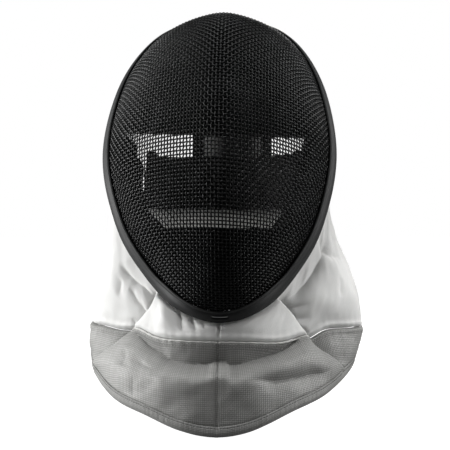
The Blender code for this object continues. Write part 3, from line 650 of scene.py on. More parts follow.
def blended(tree, share, *colours):
    """Colour between two colours."""
    first, second = (value if is_link(value) else (*value, 1.0) for value in colours)
    return node(tree, "Mix", {0: share, 6: first, 7: second}, data_type="RGBA").outputs[2]


def build_weave(tree, given, result):
    """Plain weave: threads along both axes, each a half sine across itself, in turn over and under the other."""
    pitch = node(tree, "CombineXYZ", {axis: given["Pitch"] for axis in "XYZ"}).outputs[0]
    place = node(tree, "VectorMath", {0: given["Place"], 1: pitch}, operation="DIVIDE").outputs[0]
    u, v = node(tree, "SeparateXYZ", {0: place}).outputs[:2]
    wave_u, wave_v = (maths(tree, "SINE", product(tree, maths(tree, "FRACT", axis), math.pi)) for axis in (u, v))
    first = product(tree, wave_v, maths(tree, "MULTIPLY_ADD", wave_u, 0.45, 0.55))
    second = product(tree, wave_u, maths(tree, "MULTIPLY_ADD", wave_v, 0.45, 0.55))
    cell_u, cell_v = maths(tree, "FLOOR", u), maths(tree, "FLOOR", v)
    over = maths(tree, "PINGPONG", maths(tree, "ADD", cell_u, cell_v), 1.0)
    streaks = [node(tree, "TexWhiteNoise", {"Vector": node(tree, "CombineXYZ", line).outputs[0]},
                    noise_dimensions="3D").outputs["Value"]
               for line in ({"X": cell_u, "Y": 0.0, "Z": 0.0}, {"X": 0.0, "Y": cell_v, "Z": 7.0})]
    put(tree, result, {
        "Height": node(tree, "Mix", {0: over, 2: first, 3: second}, data_type="FLOAT").outputs[0],
        "Gap": maths(tree, "SUBTRACT", 1.0, product(tree, wave_u, wave_v)),
        "Thread": product(tree, maths(tree, "ADD", *streaks), 0.5)})


def build_grain(tree, given, result):
    """Fine and coarse noise: Fine for a surface's bump, Coarse for how its colour drifts."""
    put(tree, result, {"Fine": noise(tree, given["Place"], given["Fine scale"], 3.0, 0.6),
                       "Coarse": noise(tree, given["Place"], given["Coarse scale"], 2.0)})


def build_wear(tree, given, result):
    """Wear: the edge mark broken up by coarse scuffs, and thin scratches from a stretched noise."""
    broken = span(tree, noise(tree, given["Place"], 55.0, 4.0, 0.65), 0.38, 0.62, 0.25, 1.0)
    turned = node(tree, "Mapping", {"Vector": given["Place"], "Rotation": (0.4, 0.7, 0.3),
                                    "Scale": (30.0, 420.0, 420.0)}).outputs[0]
    put(tree, result, {"Worn": maths(tree, "MULTIPLY", given["Edge"], broken, clamp=True),
                       "Scratches": span(tree, noise(tree, turned, 1.0, 2.0), 0.62, 0.72)})


# The shared effects: their number inputs besides Place, their outputs, and what builds them
EFFECTS = {
    "thread_weave": ({"Pitch": 0.001}, ("Height", "Gap", "Thread"), build_weave),
    "surface_grain": ({"Fine scale": 800.0, "Coarse scale": 20.0}, ("Fine", "Coarse"), build_grain),
    "surface_wear": ({"Edge": 0.0}, ("Worn", "Scratches"), build_wear),
}


def effect(tree, name, place, **values):
    """A shared effect's node group in a material, built once; a keyword has _ where the socket has a space."""
    group = bpy.data.node_groups.get(name)
    if group is None:
        numbers, outputs, build = EFFECTS[name]
        group = bpy.data.node_groups.new(name, "ShaderNodeTree")
        group.interface.new_socket("Place", in_out="INPUT", socket_type="NodeSocketVector")
        for label, value in numbers.items():
            socket = group.interface.new_socket(label, in_out="INPUT", socket_type="NodeSocketFloat")
            socket.default_value = value
        for label in outputs:
            group.interface.new_socket(label, in_out="OUTPUT", socket_type="NodeSocketFloat")
        build(group, group.nodes.new("NodeGroupInput").outputs, group.nodes.new("NodeGroupOutput").inputs)
    sockets = {label.replace("_", " "): value for label, value in values.items()}
    return node(tree, "Group", {"Place": place, **sockets}, node_tree=group).outputs


def blank_material(name):
    """A material with its node tree, its Principled shader's sockets and its Object and UV coordinates."""
    made = bpy.data.materials.new("mask_" + name)
    made.use_nodes = True
    tree = made.node_tree
    place = node(tree, "TexCoord").outputs
    return made, tree, tree.nodes["Principled BSDF"].inputs, place["Object"], place["UV"]


def bumped(tree, height, distance):
    """Normal of a bump, from a height in units of `distance` metres."""
    return node(tree, "Bump", {"Height": height, "Distance": distance}).outputs[0]


def painted_wire(colour):
    """Black-painted wire: satin, with a little bare metal showing in patches where the paint is thin."""
    made, tree, shader, place, _ = blank_material("painted_wire")
    grain = effect(tree, "surface_grain", place, Fine_scale=1500.0, Coarse_scale=28.0)
    thin = span(tree, grain["Coarse"], 0.56, 0.74, 0.0, 0.5)
    put(tree, shader, {"Base Color": blended(tree, thin, colour, (0.030, 0.031, 0.032)),
                       "Roughness": span(tree, grain["Fine"], 0.3, 0.7, 0.24, 0.38),
                       "Specular IOR Level": 0.15, "Coat Weight": 0.04, "Coat Roughness": 0.22,
                       "Normal": bumped(tree, grain["Fine"], 0.00006)})
    return made


def moulded_trim(colour):
    """Satin moulded plastic with a fine grain, edges painted paler as wear and highlight, and thin scratches."""
    made, tree, shader, place, _ = blank_material("moulded_trim")
    edge = mark(tree, "wear_and_painted_highlight")
    grain = effect(tree, "surface_grain", place, Fine_scale=1900.0, Coarse_scale=16.0)
    wear = effect(tree, "surface_wear", place, Edge=edge)
    paint = blended(tree, span(tree, grain["Coarse"], 0.3, 0.7), shade(colour, 0.86), shade(colour, 1.18))
    # Paler where the mark is high: wear, and painted highlight on the lip and the rim.
    paint = blended(tree, product(tree, wear["Worn"], 0.55), paint, (0.050, 0.053, 0.052))
    paint = blended(tree, product(tree, wear["Scratches"], 0.30), paint, (0.06, 0.06, 0.06))
    rough = maths(tree, "ADD", span(tree, grain["Coarse"], 0.3, 0.7, 0.54, 0.66),
                  product(tree, wear["Scratches"], 0.18))
    # Painted highlight: past 1.2 the mark, which lies beside the chin slot, turns the colour pale grey.
    put(tree, shader, {"Base Color": blended(tree, span(tree, edge, 1.2, 2.0), paint, (0.46, 0.47, 0.47)),
                       "Roughness": rough, "Specular IOR Level": 0.30,
                       "Normal": bumped(tree, grain["Fine"], 0.00005)})
    return made


def cloth_material(name, colour, pitch, gap_tint=0.7, roughness=(0.80, 0.92), height=0.00012, drift=0.08,
                   sheen=0.0, gloss=0.5, metallic=0.0, thread_tint=0.10, rim=None, through=0.0):
    """Woven cloth: threads and gaps from the weave group, with painted shade in the gaps, drifting colour from the
    grain group.

    rim is the colour of painted light where the cloth's "pale" mark is 1; through is the share of the light that
    passes the cloth.
    """
    made, tree, shader, place, own = blank_material(name)
    weave = effect(tree, "thread_weave", own, Pitch=pitch)
    grain = effect(tree, "surface_grain", place, Fine_scale=2400.0, Coarse_scale=26.0)
    base = blended(tree, span(tree, grain["Coarse"], 0.32, 0.68), shade(colour, 1 - drift), shade(colour, 1 + drift))
    if rim is not None:
        # Painted light: where the pale mark is 1 the colour turns to rim.
        base = blended(tree, mark(tree, "pale"), base, rim)
    if through:
        glow = node(tree, "BsdfTranslucent", {"Color": base}).outputs[0]
        cloth = tree.nodes["Principled BSDF"].outputs[0]
        mixed = node(tree, "MixShader", {0: through, 1: cloth, 2: glow}).outputs[0]
        put(tree, tree.nodes["Material Output"].inputs, {"Surface": mixed})
    streaked = blended(tree, product(tree, weave["Thread"], thread_tint), base, shade(colour, 0.45))
    # Painted shade: the weave's gaps are painted darker, towards a quarter of the colour, by up to 1 - gap_tint.
    gap_painted_shade = span(tree, weave["Gap"], 0.35, 1.0, 0.0, 1 - gap_tint)
    if metallic:
        put(tree, shader, {"Metallic": span(tree, weave["Height"], 0.2, 1.0, metallic * 0.4, metallic)})
    relief = maths(tree, "MULTIPLY_ADD", grain["Fine"], 0.35, weave["Height"])
    put(tree, shader, {"Base Color": blended(tree, gap_painted_shade, streaked, shade(colour, 0.25)),
                       "Roughness": span(tree, weave["Height"], 0.2, 1.0, *roughness[::-1]),
                       "Sheen Weight": sheen, "Sheen Roughness": 0.5, "Specular IOR Level": gloss,
                       "Normal": bumped(tree, relief, height)})
    return made


def thread_material(name, colour):
    """Twisted sewing thread: a fine diagonal wave for its twist."""
    made, tree, shader, place, _ = blank_material(name)
    wave = node(tree, "TexWave", {"Vector": place, "Scale": 900.0, "Distortion": 1.5}).outputs[1]
    put(tree, shader, {"Base Color": blended(tree, wave, shade(colour, 0.75), colour), "Roughness": 0.7,
                       "Normal": bumped(tree, wave, 0.00005)})
    return made


def brushed_steel():
    """Plain steel plate with a brushed surface."""
    made, tree, shader, place, _ = blank_material("brushed_steel")
    wear = effect(tree, "surface_wear", place, Edge=0.4)
    grain = effect(tree, "surface_grain", place, Fine_scale=1600.0, Coarse_scale=45.0)
    put(tree, shader, {"Base Color": blended(tree, grain["Coarse"], (0.26, 0.26, 0.27), (0.38, 0.38, 0.39)),
                       "Roughness": maths(tree, "MULTIPLY_ADD", wear["Scratches"], 0.2, 0.34), "Metallic": 1.0,
                       "Normal": bumped(tree, grain["Fine"], 0.00004)})
    return made


# ---------------------------------------------------------------- woven wire
def woven_grid(pitch):
    """Half-pitch grid of the weave: across, row, and whether each place lies inside the edge.

    Steps along the ridge are pitch / 2 times the stretch of the drawn sheet there, and they widen to each side of
    it. A wire that crosses the ridge at row r sinks to its sides by `sag` of what the bow through r does, until
    the crown's wires lie level.
    """
    fine, across = np.linspace(0, LAST_ROW, 1401), np.linspace(-1, 1, 401)
    run = run_along(mesh_point(0.0, fine))
    steps = np.diff(run) / (pitch / 2 * np.interp(fine[1:], *np.array(RIDGE_STRETCH).T))
    count = np.concatenate(((0,), np.cumsum(steps)))
    crossing = np.interp(np.arange(0, count[-1]), count, fine)

    height = mesh_point(across, fine[:, None])[..., 2]
    share = np.interp(crossing, *np.array(WIRE_SAG).T)[:, None]
    sag = share + (1 - share) * WIRE_CURL * across ** 2
    x, _, bow = np.moveaxis(mesh_point(across, crossing[:, None]), -1, 0)
    aim = bow[:, 200:201] * (1 - sag) + bow * sag - WIRE_TILT * x
    row = np.empty_like(aim)
    for index in range(len(across)):
        top = int(height[:, index].argmax()) + 1
        row[:, index] = np.interp(aim[:, index], height[:top, index], fine[:top])
    level = smooth_step(*LEVEL_ROWS, crossing)[:, None]
    row = row * (1 - level) + crossing[:, None] * level

    length = run_along(mesh_point(across, row), axis=1)
    length = length - length[:, 200:201]
    side = [0.0]
    while side[-1] < length.max():
        side.append(side[-1] + pitch / 2 * (1 + SIDE_STRETCH[0] * min(1, side[-1] / SIDE_STRETCH[1])))
    marks = np.concatenate((-np.array(side[:0:-1]), side))
    place = np.stack([np.interp(marks, line, across) for line in length])
    rows = np.stack([np.interp(marks, line, own) for line, own in zip(length, row)])
    inside = (marks > length[:, :1] + WIRE_END) & (marks < length[:, -1:] - WIRE_END)
    return place, rows, inside


def wire_tubes(name, centres, normal, inside, radius, finish, sides=6):
    """Round wires: one along each line of centres, running on while `inside`, and closed at both ends."""
    along = unit(np.roll(centres, -1, axis=1) - np.roll(centres, 1, axis=1))
    rings = rings_round(centres, along, normal, radius, 2 * math.pi * (np.arange(sides) + 0.5) / sides)
    before, after = np.zeros_like(inside), np.zeros_like(inside)
    before[:, 1:] = inside[:, :-1]
    after[:, :-1] = inside[:, 1:]
    inside = inside & (before | after)
    index = (np.cumsum(inside.ravel()) - 1).reshape(inside.shape)[..., None] * sides + np.arange(sides)
    joined = inside[:, :-1] & inside[:, 1:]
    quads = ring_quads(index[:, :-1][joined], index[:, 1:][joined])
    caps = (index[inside & ~before], index[inside & ~after][:, ::-1])
    return mesh_object(name, rings[inside], (quads, *caps), [finish])


# ---------------------------------------------------------------- padding
def row_at_height(across, height, tilt=0.0):
    """Mesh row at which each bow position reaches a height that rises with depth and falls from left to right."""
    rows = np.linspace(0, LAST_ROW - 3, 200)
    x, y, z = np.moveaxis(mesh_point(across[:, None], rows), -1, 0)
    return np.array([np.interp(height, line, rows) for line in z - SIGHT_SLOPE * y + tilt * x])


def clear_of_edge(row):
    """How far across a bow the padding may go, so that it stays inside the trim."""
    return 1 - BOW_STRETCH * PAD_MARGIN / bow_width(row)


def pad_layout():
    """across, row, depth and sewn channels of each pad. Channels are shares of its width."""
    spread = np.linspace(-1, 1, 69)
    low = row_at_height(spread * CROWN_ACROSS, FOREHEAD_LINE, FOREHEAD_TILT)
    rows = between(low, CROWN_BACK[0] - CROWN_BACK[1] * spread ** 2, 45)
    across = spread[:, None] * np.minimum(CROWN_ACROSS, clear_of_edge(rows))
    made = {"crown_pad": (across, rows, PAD_DEPTH["crown"], CHANNELS["crown"])}
    for side, label in ((-1, "left"), (1, "right")):
        spread = np.linspace(0, 1, 33)
        marks, places = np.array(CHEEK_INNER[label]).T
        high = row_at_height(places[-1] + (CROWN_ACROSS - places[-1]) * spread, CHEEK_LINE)
        rows = between(np.full(spread.shape, CHEEK_LOW_ROW), high, 49)
        begin = np.interp(rows, marks, places)
        across = begin + (clear_of_edge(rows) - begin) * spread[:, None]
        made["cheek_pad_" + label] = (side * across, rows, PAD_DEPTH["cheek"], ())
    spread = np.linspace(-1, 1, 61)
    drop = smooth_step(*CHIN_STEP, np.abs(spread))
    high = row_at_height(spread * CHIN_ACROSS, CHIN_LINE) * (1 - drop) + CHIN_SIDE_ROW * drop
    rows = between(CHIN_LOW[0] + CHIN_LOW[1] * np.abs(spread), high, 23)
    made["chin_pad"] = (spread[:, None] * clear_of_edge(rows), rows, PAD_DEPTH["chin"], CHANNELS["chin"])
    return made


def border_distance(points):
    """Distance from a grid's nearest border, along its lines."""
    down, along = run_along(points, axis=0), run_along(points, axis=1)
    return np.minimum(np.minimum(down, down[-1:] - down), np.minimum(along, along[:, -1:] - along))


def pad_faces(across, row, depth, channels):
    """Outer and inner face of a pad, and how firmly each inner place is sewn down.

    The inner face stands off by depth * fullness, where fullness is level in the middle, falls by a quarter
    circle over the last 9 mm to the flank, and dips at each sewn channel.
    """
    along = np.linspace(-1, 1, across.shape[0])[:, None]
    up = np.linspace(-1, 1, across.shape[1])
    from_edge = np.minimum((1 - np.abs(across)) * bow_width(row) / BOW_STRETCH, row * PAD_ROW)
    extra, near, far = PAD_UNDER_TRIM
    gap = (PAD_GAP + extra * (1 - smooth_step(near, far, from_edge)))[..., None]
    outer = mesh_point(across, row) - mesh_normal(across, row) * gap
    away = border_distance(outer)
    full = PAD_BORDER + (1 - PAD_BORDER) * (1 - along ** 6) * (1 - up ** 4)
    full = PAD_FLANK + (full - PAD_FLANK) * rounded(away, PAD_ROUND)
    width = run_along(outer)[-1:] / 2
    sewn = np.zeros_like(full)
    for channel in channels:
        sewn = np.maximum(sewn, bump((along - channel) * width, 0, 0.0028) * smooth_step(0.0, 0.012, away))
    depth = gap + (depth * full * (1 - CHANNEL_DIP * sewn))[..., None]
    ridged, flat = (mesh_point(across, row, ridge) - mesh_normal(across, row, ridge) * depth for ridge in (1, 0))
    smooth = smooth_step(0.0, 0.02, away)[..., None]
    return outer, ridged * (1 - smooth) + flat * smooth, np.maximum(sewn, 1 - smooth_step(0.0, 0.006, away))


def swelled(thing, pinned, pressure, cap):
    """Cloth simulation of a closed pad under inner pressure: pinned points stay, the rest moves by cap at most."""
    scene = bpy.context.scene
    rest = np.empty(len(thing.data.vertices) * 3)
    thing.data.vertices.foreach_get("co", rest)
    group = thing.vertex_groups.new(name="sewn")
    group.add(np.flatnonzero(pinned).tolist(), 1.0, "REPLACE")
    cloth = thing.modifiers.new("Cloth", "CLOTH")
    cloth.settings.quality = 6
    cloth.settings.use_pressure = True
    cloth.settings.uniform_pressure_force = pressure
    cloth.settings.vertex_group_mass = "sewn"
    cloth.settings.effector_weights.gravity = 0.0
    cloth.point_cache.frame_start, cloth.point_cache.frame_end = 1, SWELL_FRAMES
    for step in range(1, SWELL_FRAMES + 1):
        scene.frame_set(step)
    moved = np.empty_like(rest)
    thing.evaluated_get(bpy.context.evaluated_depsgraph_get()).data.vertices.foreach_get("co", moved)
    thing.modifiers.remove(cloth)
    scene.frame_set(1)
    step = np.nan_to_num((moved - rest).reshape(-1, 3))
    size = np.linalg.norm(step, axis=1, keepdims=True)
    step = step * (cap * np.tanh(size / cap) / np.maximum(size, 1e-9))
    thing.data.vertices.foreach_set("co", rest + step.ravel())
    thing.data.update()
    thing.vertex_groups.remove(group)


def subdivided(thing):
    """Subdivision surface, the same in view and render."""
    made = thing.modifiers.new("Subdivision", "SUBSURF")
    made.levels = made.render_levels = 1
    return thing


# ---------------------------------------------------------------- tongue
def tongue_face(x, along, offset):
    """Point of the tongue: x from its middle, along from 0 at the crown to 1 at its end, offset off its middle."""
    x, along, offset = np.broadcast_arrays(x, along, offset)
    last = len(TONGUE_LINE) - 1
    at = along * last
    inner = np.clip(at, 0.01, last - 0.01)
    step = through_rows(TONGUE_LINE, inner + 0.01) - through_rows(TONGUE_LINE, inner - 0.01)
    out = unit(np.stack((-step[..., 1], step[..., 0]), axis=-1))
    middle = through_rows(TONGUE_LINE, at) + out * (offset - x ** 2 / (2 * TONGUE_ROUND))[..., None]
    return np.concatenate(((TONGUE_X + x)[..., None], middle), axis=-1)


def tongue_length():
    """Length of the tongue's middle line."""
    return run_along(through_rows(TONGUE_LINE, np.linspace(0, len(TONGUE_LINE) - 1, 60)))[-1]


def tongue_outline(margin, turn_count, straight_count=60):
    """Half outline of the tongue as (x, along), from the crown down one side, round a corner to the middle."""
    length = tongue_length()
    half, corner, end = TONGUE_HALF_WIDTH - margin, TONGUE_CORNER - margin / 2, length - margin
    turn = np.linspace(0, math.pi / 2, turn_count)[1:]
    x = np.concatenate((np.full(straight_count, half), half - corner + corner * np.cos(turn), (0.0,)))
    along = np.concatenate((np.linspace(0, end - corner, straight_count), end - corner + corner * np.sin(turn),
                            (end,)))
    return x, along / length


def tongue_seam(name, x, along, offset, *sewn):
    """Stitches along a line of the tongue, on the side that the sign of offset tells."""
    line = tongue_face(x, along, offset)
    stitches(name, line, unit(tongue_face(x, along, offset + math.copysign(0.001, offset)) - line), *sewn)


# ---------------------------------------------------------------- bib
def bib_lines(around):
    """Top, seam and hem of the bib, -1 to 1 from the left wing's rear edge to the right one's."""
    size, side = np.abs(around), np.sign(around)
    table = np.array(BIB_TABLE)
    at = np.interp(size, table[:, 0], np.arange(len(table)))
    seam_x, seam_y, seam_z, hem_x, hem_y, hem_z = np.moveaxis(through_rows(table[:, 1:], at, BIB_FLAT_AT_ENDS), -1, 0)
    edge, normal, beyond = edge_frame(around * BIB_ROWS_DOWN_JAW)
    top = edge + beyond * BIB_BEHIND_EDGE - normal * BIB_UNDER_EDGE
    lean = BIB_LEAN[0] + (BIB_LEAN[1] - BIB_LEAN[0]) * size ** 2
    twist = BIB_TWIST * side * arch(size) ** 2
    dip = np.where(around < 0, SEAM_DIP[0] * bump(size, 0.60, 0.10),
                   SEAM_DIP[1] * (bump(size, 0.52, 0.06) + smooth_step(0.78, 0.88, size)))
    shift = HEM_LEAN * bump(size, 0.66, 0.24) + HEM_CORNER * bump(around, 0.82, 0.12)
    seam = np.stack((lean + side * seam_x, seam_y, seam_z - twist - dip), axis=-1)
    return top, seam, np.stack((lean - shift + side * hem_x, hem_y, hem_z + twist), axis=-1)


def bib_lengths(part, around):
    """Length of a part down each place around, and the way around along the seam."""
    fine = np.linspace(0, 1, 201)
    top, seam, hem = bib_lines(around)
    way = np.sign(around) * np.interp(np.abs(around), fine, run_along(bib_lines(fine)[1]))
    return np.linalg.norm(seam - top if part == "upper" else hem - seam, axis=-1), way


def fold_around(part, side, down):
    """How far around the fold of one side lies: high + (low - high) * down^power."""
    high, low, power = FOLDS[part, side]
    return high + (low - high) * down ** power


def bib_base(part, around, down):
    """Bib before its folds: straight from line to line, bowed a little as a half sine."""
    top, seam, hem = bib_lines(around)
    high, low = (top, seam) if part == "upper" else (seam, hem)
    down = down[..., None]
    out = np.stack((np.sign(around) * np.abs(around) ** 1.5, np.abs(around) - 1.0, np.zeros_like(around)), axis=-1)
    return high * (1 - down) + low * down + out * BIB_BOW[part] * arch(down)


def panel_normal(part, around, down):
    """Outward normal of bib_base, from differences over a small step."""
    step = 0.004
    across, along = (
        bib_base(part, np.clip(around + turn, -1, 1), np.clip(down + fall, 0, 1))
        - bib_base(part, np.clip(around - turn, -1, 1), np.clip(down - fall, 0, 1))
        for turn, fall in ((step, 0), (0, step)))
    return unit(np.cross(along, across))


def bib_normal(part, around, down):
    """Outward normal of the bib, turned to the shared normal near the seam."""
    own = panel_normal(part, around, down)
    line = np.ones_like(down)
    shared = unit(panel_normal("upper", around, line) + panel_normal("lower", around, 0 * line))
    from_seam = 1 - down if part == "upper" else down
    near = smooth_step(1 - SEAM_BLEND, 1, 1 - from_seam)[..., None]
    return unit(own * (1 - near) + shared * near)


def crease(place, line, depth, left, right):
    """Sharp valley along a line, depth * exp(-distance / reach), with its own reach on either side.

    place and line are flat (way, run) pairs in metres. The signed distance is taken from the nearest segment, and
    the depth tapers to nothing at both ends.
    """
    start, step = line[:-1], np.diff(line, axis=0)
    size = np.linalg.norm(step, axis=1)
    offset = place[..., None, :] - start
    share = np.clip((offset * step).sum(-1) / size ** 2, 0, 1)
    away = offset - share[..., None] * step
    distance = np.linalg.norm(away, axis=-1)
    cross = step[:, 0] * away[..., 1] - step[:, 1] * away[..., 0]
    run = run_along(line)
    nearest = distance.argmin(-1)[..., None]
    signed, at = (np.take_along_axis(values, nearest, -1)[..., 0]
                  for values in (np.where(cross < 0, -distance, distance), run[:-1] + share * size))
    at = at / run[-1]
    taper = smooth_step(0, 0.35, at + 0.04) * smooth_step(0, 0.35, 1.04 - at)
    reach = np.where(signed < 0, left, right)
    return -depth * taper * np.exp(-(np.sqrt(signed ** 2 + 0.0004 ** 2) - 0.0004) / reach)


def upper_relief(around, down, fold, front, step):
    """Swells of the white part: half sines, with one puff left of the middle; the folds open below the trim."""
    inner = 1 - np.minimum(1, np.abs(around) / fold) ** 4
    beside = (np.abs(around) - fold) * FOLD_UNIT
    sway = np.where(around < 0, *SIDE_SWAY) * arch(2 * down)
    swell = np.where(front, UPPER_SWELL[0] * inner * arch(down),
                     (UPPER_SWELL[1] * arch(down) - sway) * smooth_step(0.0, 0.045, beside))
    height, place, width = LEFT_PUFF
    return step * smooth_step(0.0, FOLD_START, down) + swell + height * bump(around, place, width) * arch(down)


def lower_relief(around, down, fold, front, step, length):
    """Relief of the lame: the valley under the chin deepens from the seam to a cusp, with a puff below it."""
    size = np.abs(around)
    inner = 1 - np.minimum(1, size / fold) ** 4
    step = np.where(front, step, step * (1 - 0.35 * down)) * (1 - smooth_step(*FOLD_CLOSE, down))
    line = np.interp(around, *np.array(CHIN_VALLEY).T)
    below = (down - line) * length
    valley = VALLEY_DEPTH * np.clip(1 - (size / VALLEY_SIDES) ** 3, 0, 1) * smooth_step(0.0, 0.03, line)
    rise = np.where(down < line, (down / np.maximum(line, 1e-3)) ** 1.25, np.exp(-below / VALLEY_REACH))
    height, place, width = LAME_PUFF
    puff = height * bump(below, place, width) * np.clip(1 - (size / PUFF_SIDES) ** 2, 0, 1)
    height, share = LAME_SWELL
    swell = height * arch(down ** 0.85) * np.where(front, share + (1 - share) * inner, share)
    return step + puff - valley * rise + swell


def bib_relief(part, around, down, panel=None):
    """Height of the bib's folds, swells, seams and creases over its base.

    The front panel stands out over the side panels at the folds; each side panel falls towards its fold by an
    exponential. Each panel is drawn in at its seams, where the cloth puckers in a short wave. panel is None for a
    line over all panels.
    """
    fold = np.where(around < 0, fold_around(part, -1, down), fold_around(part, 1, down))
    length, way = bib_lengths(part, around)
    run = down * length
    beside = (np.abs(around) - fold) * FOLD_UNIT
    front = beside < 0 if panel is None else np.full(beside.shape, panel == "front")
    depth, reach = FOLD_TUCK[part]
    step = np.where(front, FOLD_STAND - FOLD_LIP[0] * np.exp(np.minimum(beside, 0) / FOLD_LIP[1]),
                    -depth * np.exp(-np.maximum(beside, 0) / reach))
    if part == "upper":
        height, away = upper_relief(around, np.minimum(1, down), fold, front, step), (1 - down) * length
    else:
        height, away = lower_relief(around, down, fold, front, step, length), run
    ridge, place, width = SEAM_RIDGE
    height = height + ridge * bump(away, place, width)
    height = height - np.where(front, *SEAM_DRAW[:2]) * bump(away, 0.0, SEAM_DRAW[2])
    rise, size, reach = PUCKER
    gather = np.sin(2 * math.pi * way / size + 1.4 * soft_noise(way, 0 * way, 0.03, 5))
    height = height + rise * gather * np.exp(-away / reach) * smooth_step(0, 0.001, away)
    height = height + smooth_step(0, 0.012, away) * sum(
        rise * soft_noise(way, run, size, seed) for rise, size, seed in UNEVEN)
    for name, on_front, depth, left, right, line in CREASES:
        if name == part:
            marks = np.array(line)
            mark_length, mark_way = bib_lengths(part, marks[:, 0])
            here = (front == on_front) & (around * marks[0, 0] > 0)
            marks = np.stack((mark_way, marks[:, 1] * mark_length), axis=-1)
            height = height + crease(np.stack((way, run), axis=-1), marks, depth, left, right) * here
    depth, place, width = MIDDLE_SEAM
    return height - depth * bump(way + place, 0, width) * (smooth_step(0.0, 0.3, down) if part == "upper" else 1)


def bib_surface(part, around, down, panel=None):
    """Outer face of the bib with its folds, and its normal."""
    normal = bib_normal(part, around, down)
    return bib_base(part, around, down) + normal * bib_relief(part, around, down, panel)[..., None], normal


def bib_panel(part, label, columns, rows):
    """around and down of a panel's grid: from fold to fold in front, and from under the fold to the rear edge."""
    down = np.linspace(0.0, 1.0, rows)
    share = np.linspace(0, 1, columns)[:, None]
    left, right = fold_around(part, -1, down), fold_around(part, 1, down)
    if label == "front":
        around = -left + (left + right) * (0.0004 + 0.9992 * share)
    else:
        hidden = smooth_step(0.0, FOLD_START, down) if part == "upper" else 1 - smooth_step(*FOLD_HIDE, down)
        begin = (left if label == "left" else right) - FOLD_UNDER / FOLD_UNIT * hidden
        around = begin + (1 - begin) * share
    around = -around[::-1] if label == "left" else around
    short = PANEL_GAP if part == "upper" else HEM_WIDTH - HEM_OVERLAP
    return around, down * (1 - short / bib_lengths(part, around)[0])


def bib_cloth(name, part, label, grid, finish, lining):
    """One quilted panel: outer face, inner face a wall's thickness behind it, drawn together at its borders."""
    around, down = bib_panel(part, label, *grid)
    outer, normal = bib_surface(part, around, down, label)
    depth, reach, share = BORDER_DRAW
    draw = normal * (depth * (1 - smooth_step(0.0, reach, border_distance(outer))) ** 1.5)[..., None]
    outer, inner = outer - draw * share, outer - normal * BIB_WALL + draw
    length, way = bib_lengths(part, around)
    uv = np.stack((way, -down * length), axis=-1)
    return slab(name, outer[::-1], inner[::-1], finish, uv[::-1], lining, sharp=50)


# ---------------------------------------------------------------- settings
def metres(name, description, default):
    """A length."""
    return FloatProperty(name=name, description=description, default=default, unit="LENGTH")


def amount(name, description, default, unit="NONE"):
    """A plain number, or one with a unit."""
    return FloatProperty(name=name, description=description, default=default, unit=unit)


def tint(name, description, *default):
    """A colour."""
    return FloatVectorProperty(name=name, description=description, default=default, subtype="COLOR", size=3)


class WireSettings(bpy.types.PropertyGroup):
    """Sizes and colour of the woven wire."""
    pitch: metres("Pitch", "From wire to wire", 0.0033)
    radius: metres("Radius", "Radius of one wire", MESH_WALL * 0.362)
    colour: tint("Colour", "Paint of the wires", 0.0046, 0.0051, 0.0050)


class TrimSettings(bpy.types.PropertyGroup):
    """Fineness and colour of the moulded edge trim."""
    steps: IntProperty(name="Steps", description="Sections around the trim", default=400, min=60)
    colour: tint("Colour", "Plastic of the trim", 0.0085, 0.0090, 0.0092)


class PaddingSettings(bpy.types.PropertyGroup):
    """How the padding swells, and its cloth."""
    pressure: amount("Pressure", "Inner pressure of the cloth simulation", 4.0)
    swell: metres("Swell", "Most that a point of a pad may move", 0.0045)
    colour: tint("Colour", "Cover of the pads", 0.0030, 0.0030, 0.0032)


class StrapSettings(bpy.types.PropertyGroup):
    """Ribs and colours of the elastic straps and the tongue."""
    rib: metres("Rib", "From rib to rib of the elastic", 0.0030)
    black: tint("Black", "Black elastic", 0.0035, 0.0035, 0.0037)
    grey: tint("Grey", "Grey elastic", 0.62, 0.62, 0.61)
    tongue: tint("Tongue", "Cloth of the tongue", 0.055, 0.055, 0.056)


class BibSettings(bpy.types.PropertyGroup):
    """Cloths and threads of the bib."""
    white: tint("White", "White cloth", 0.79, 0.79, 0.775)
    lame: tint("Lame", "Conductive cloth", 0.365, 0.365, 0.352)
    lame_pitch: metres("Lame pitch", "From line to line of its grid", 0.0016)
    stitch: metres("Stitch", "From stitch to stitch", 0.0030)


class StudioSettings(bpy.types.PropertyGroup):
    """Light, floor and camera."""
    fill: amount("Fill", "Strength of the surrounding light", 0.032)
    key: amount("Key", "Power of the light at the left", 51.0, "POWER")
    rim: amount("Rim", "Power of the light at the right", 24.0, "POWER")
    top: amount("Top", "Power of the light above", 28.0, "POWER")
    focal: amount("Focal length", "Lens in millimetres", 114.6)


# ---------------------------------------------------------------- operators
class MASK_OT_woven_wire(bpy.types.Operator):
    """Weave the mask's wires over and under each other on the mesh's middle face"""
    bl_idname = "mask.woven_wire"
    bl_label = "Woven wire"

    def execute(self, context):
        """A wire's height over the middle face is radius * cos, whose period is two crossings."""
        own = context.scene.mask_wire
        place, rows, inside = woven_grid(own.pitch)
        normal = mesh_normal(place, rows)
        middle = mesh_point(place, rows) - normal * (MESH_WALL / 2)
        line, column = (np.arange(count) for count in place.shape)
        half = len(column) // 2
        over = own.radius * np.cos(math.pi * line / 2)[:, None] * np.cos(math.pi * (column - half) / 2)
        lift = normal * over[..., None]
        finish = painted_wire(tuple(own.colour))
        down = [np.swapaxes(grid, 0, 1) for grid in (middle - lift, normal, inside)]
        for grids, first, split, labels in (((middle + lift, normal, inside), 0, len(line) * 9 // 20,
                                             ("across_lower", "across_upper")),
                                            (down, half % 2, half, ("down_left", "down_right"))):
            even = np.arange(first, len(grids[0]), 2)
            for label, chosen in zip(labels, (even[even < split], even[even >= split])):
                made = wire_tubes("wires_" + label, *(grid[chosen] for grid in grids), own.radius, finish)
                keep(made, "black_wire", "wire_mesh")
        return {"FINISHED"}


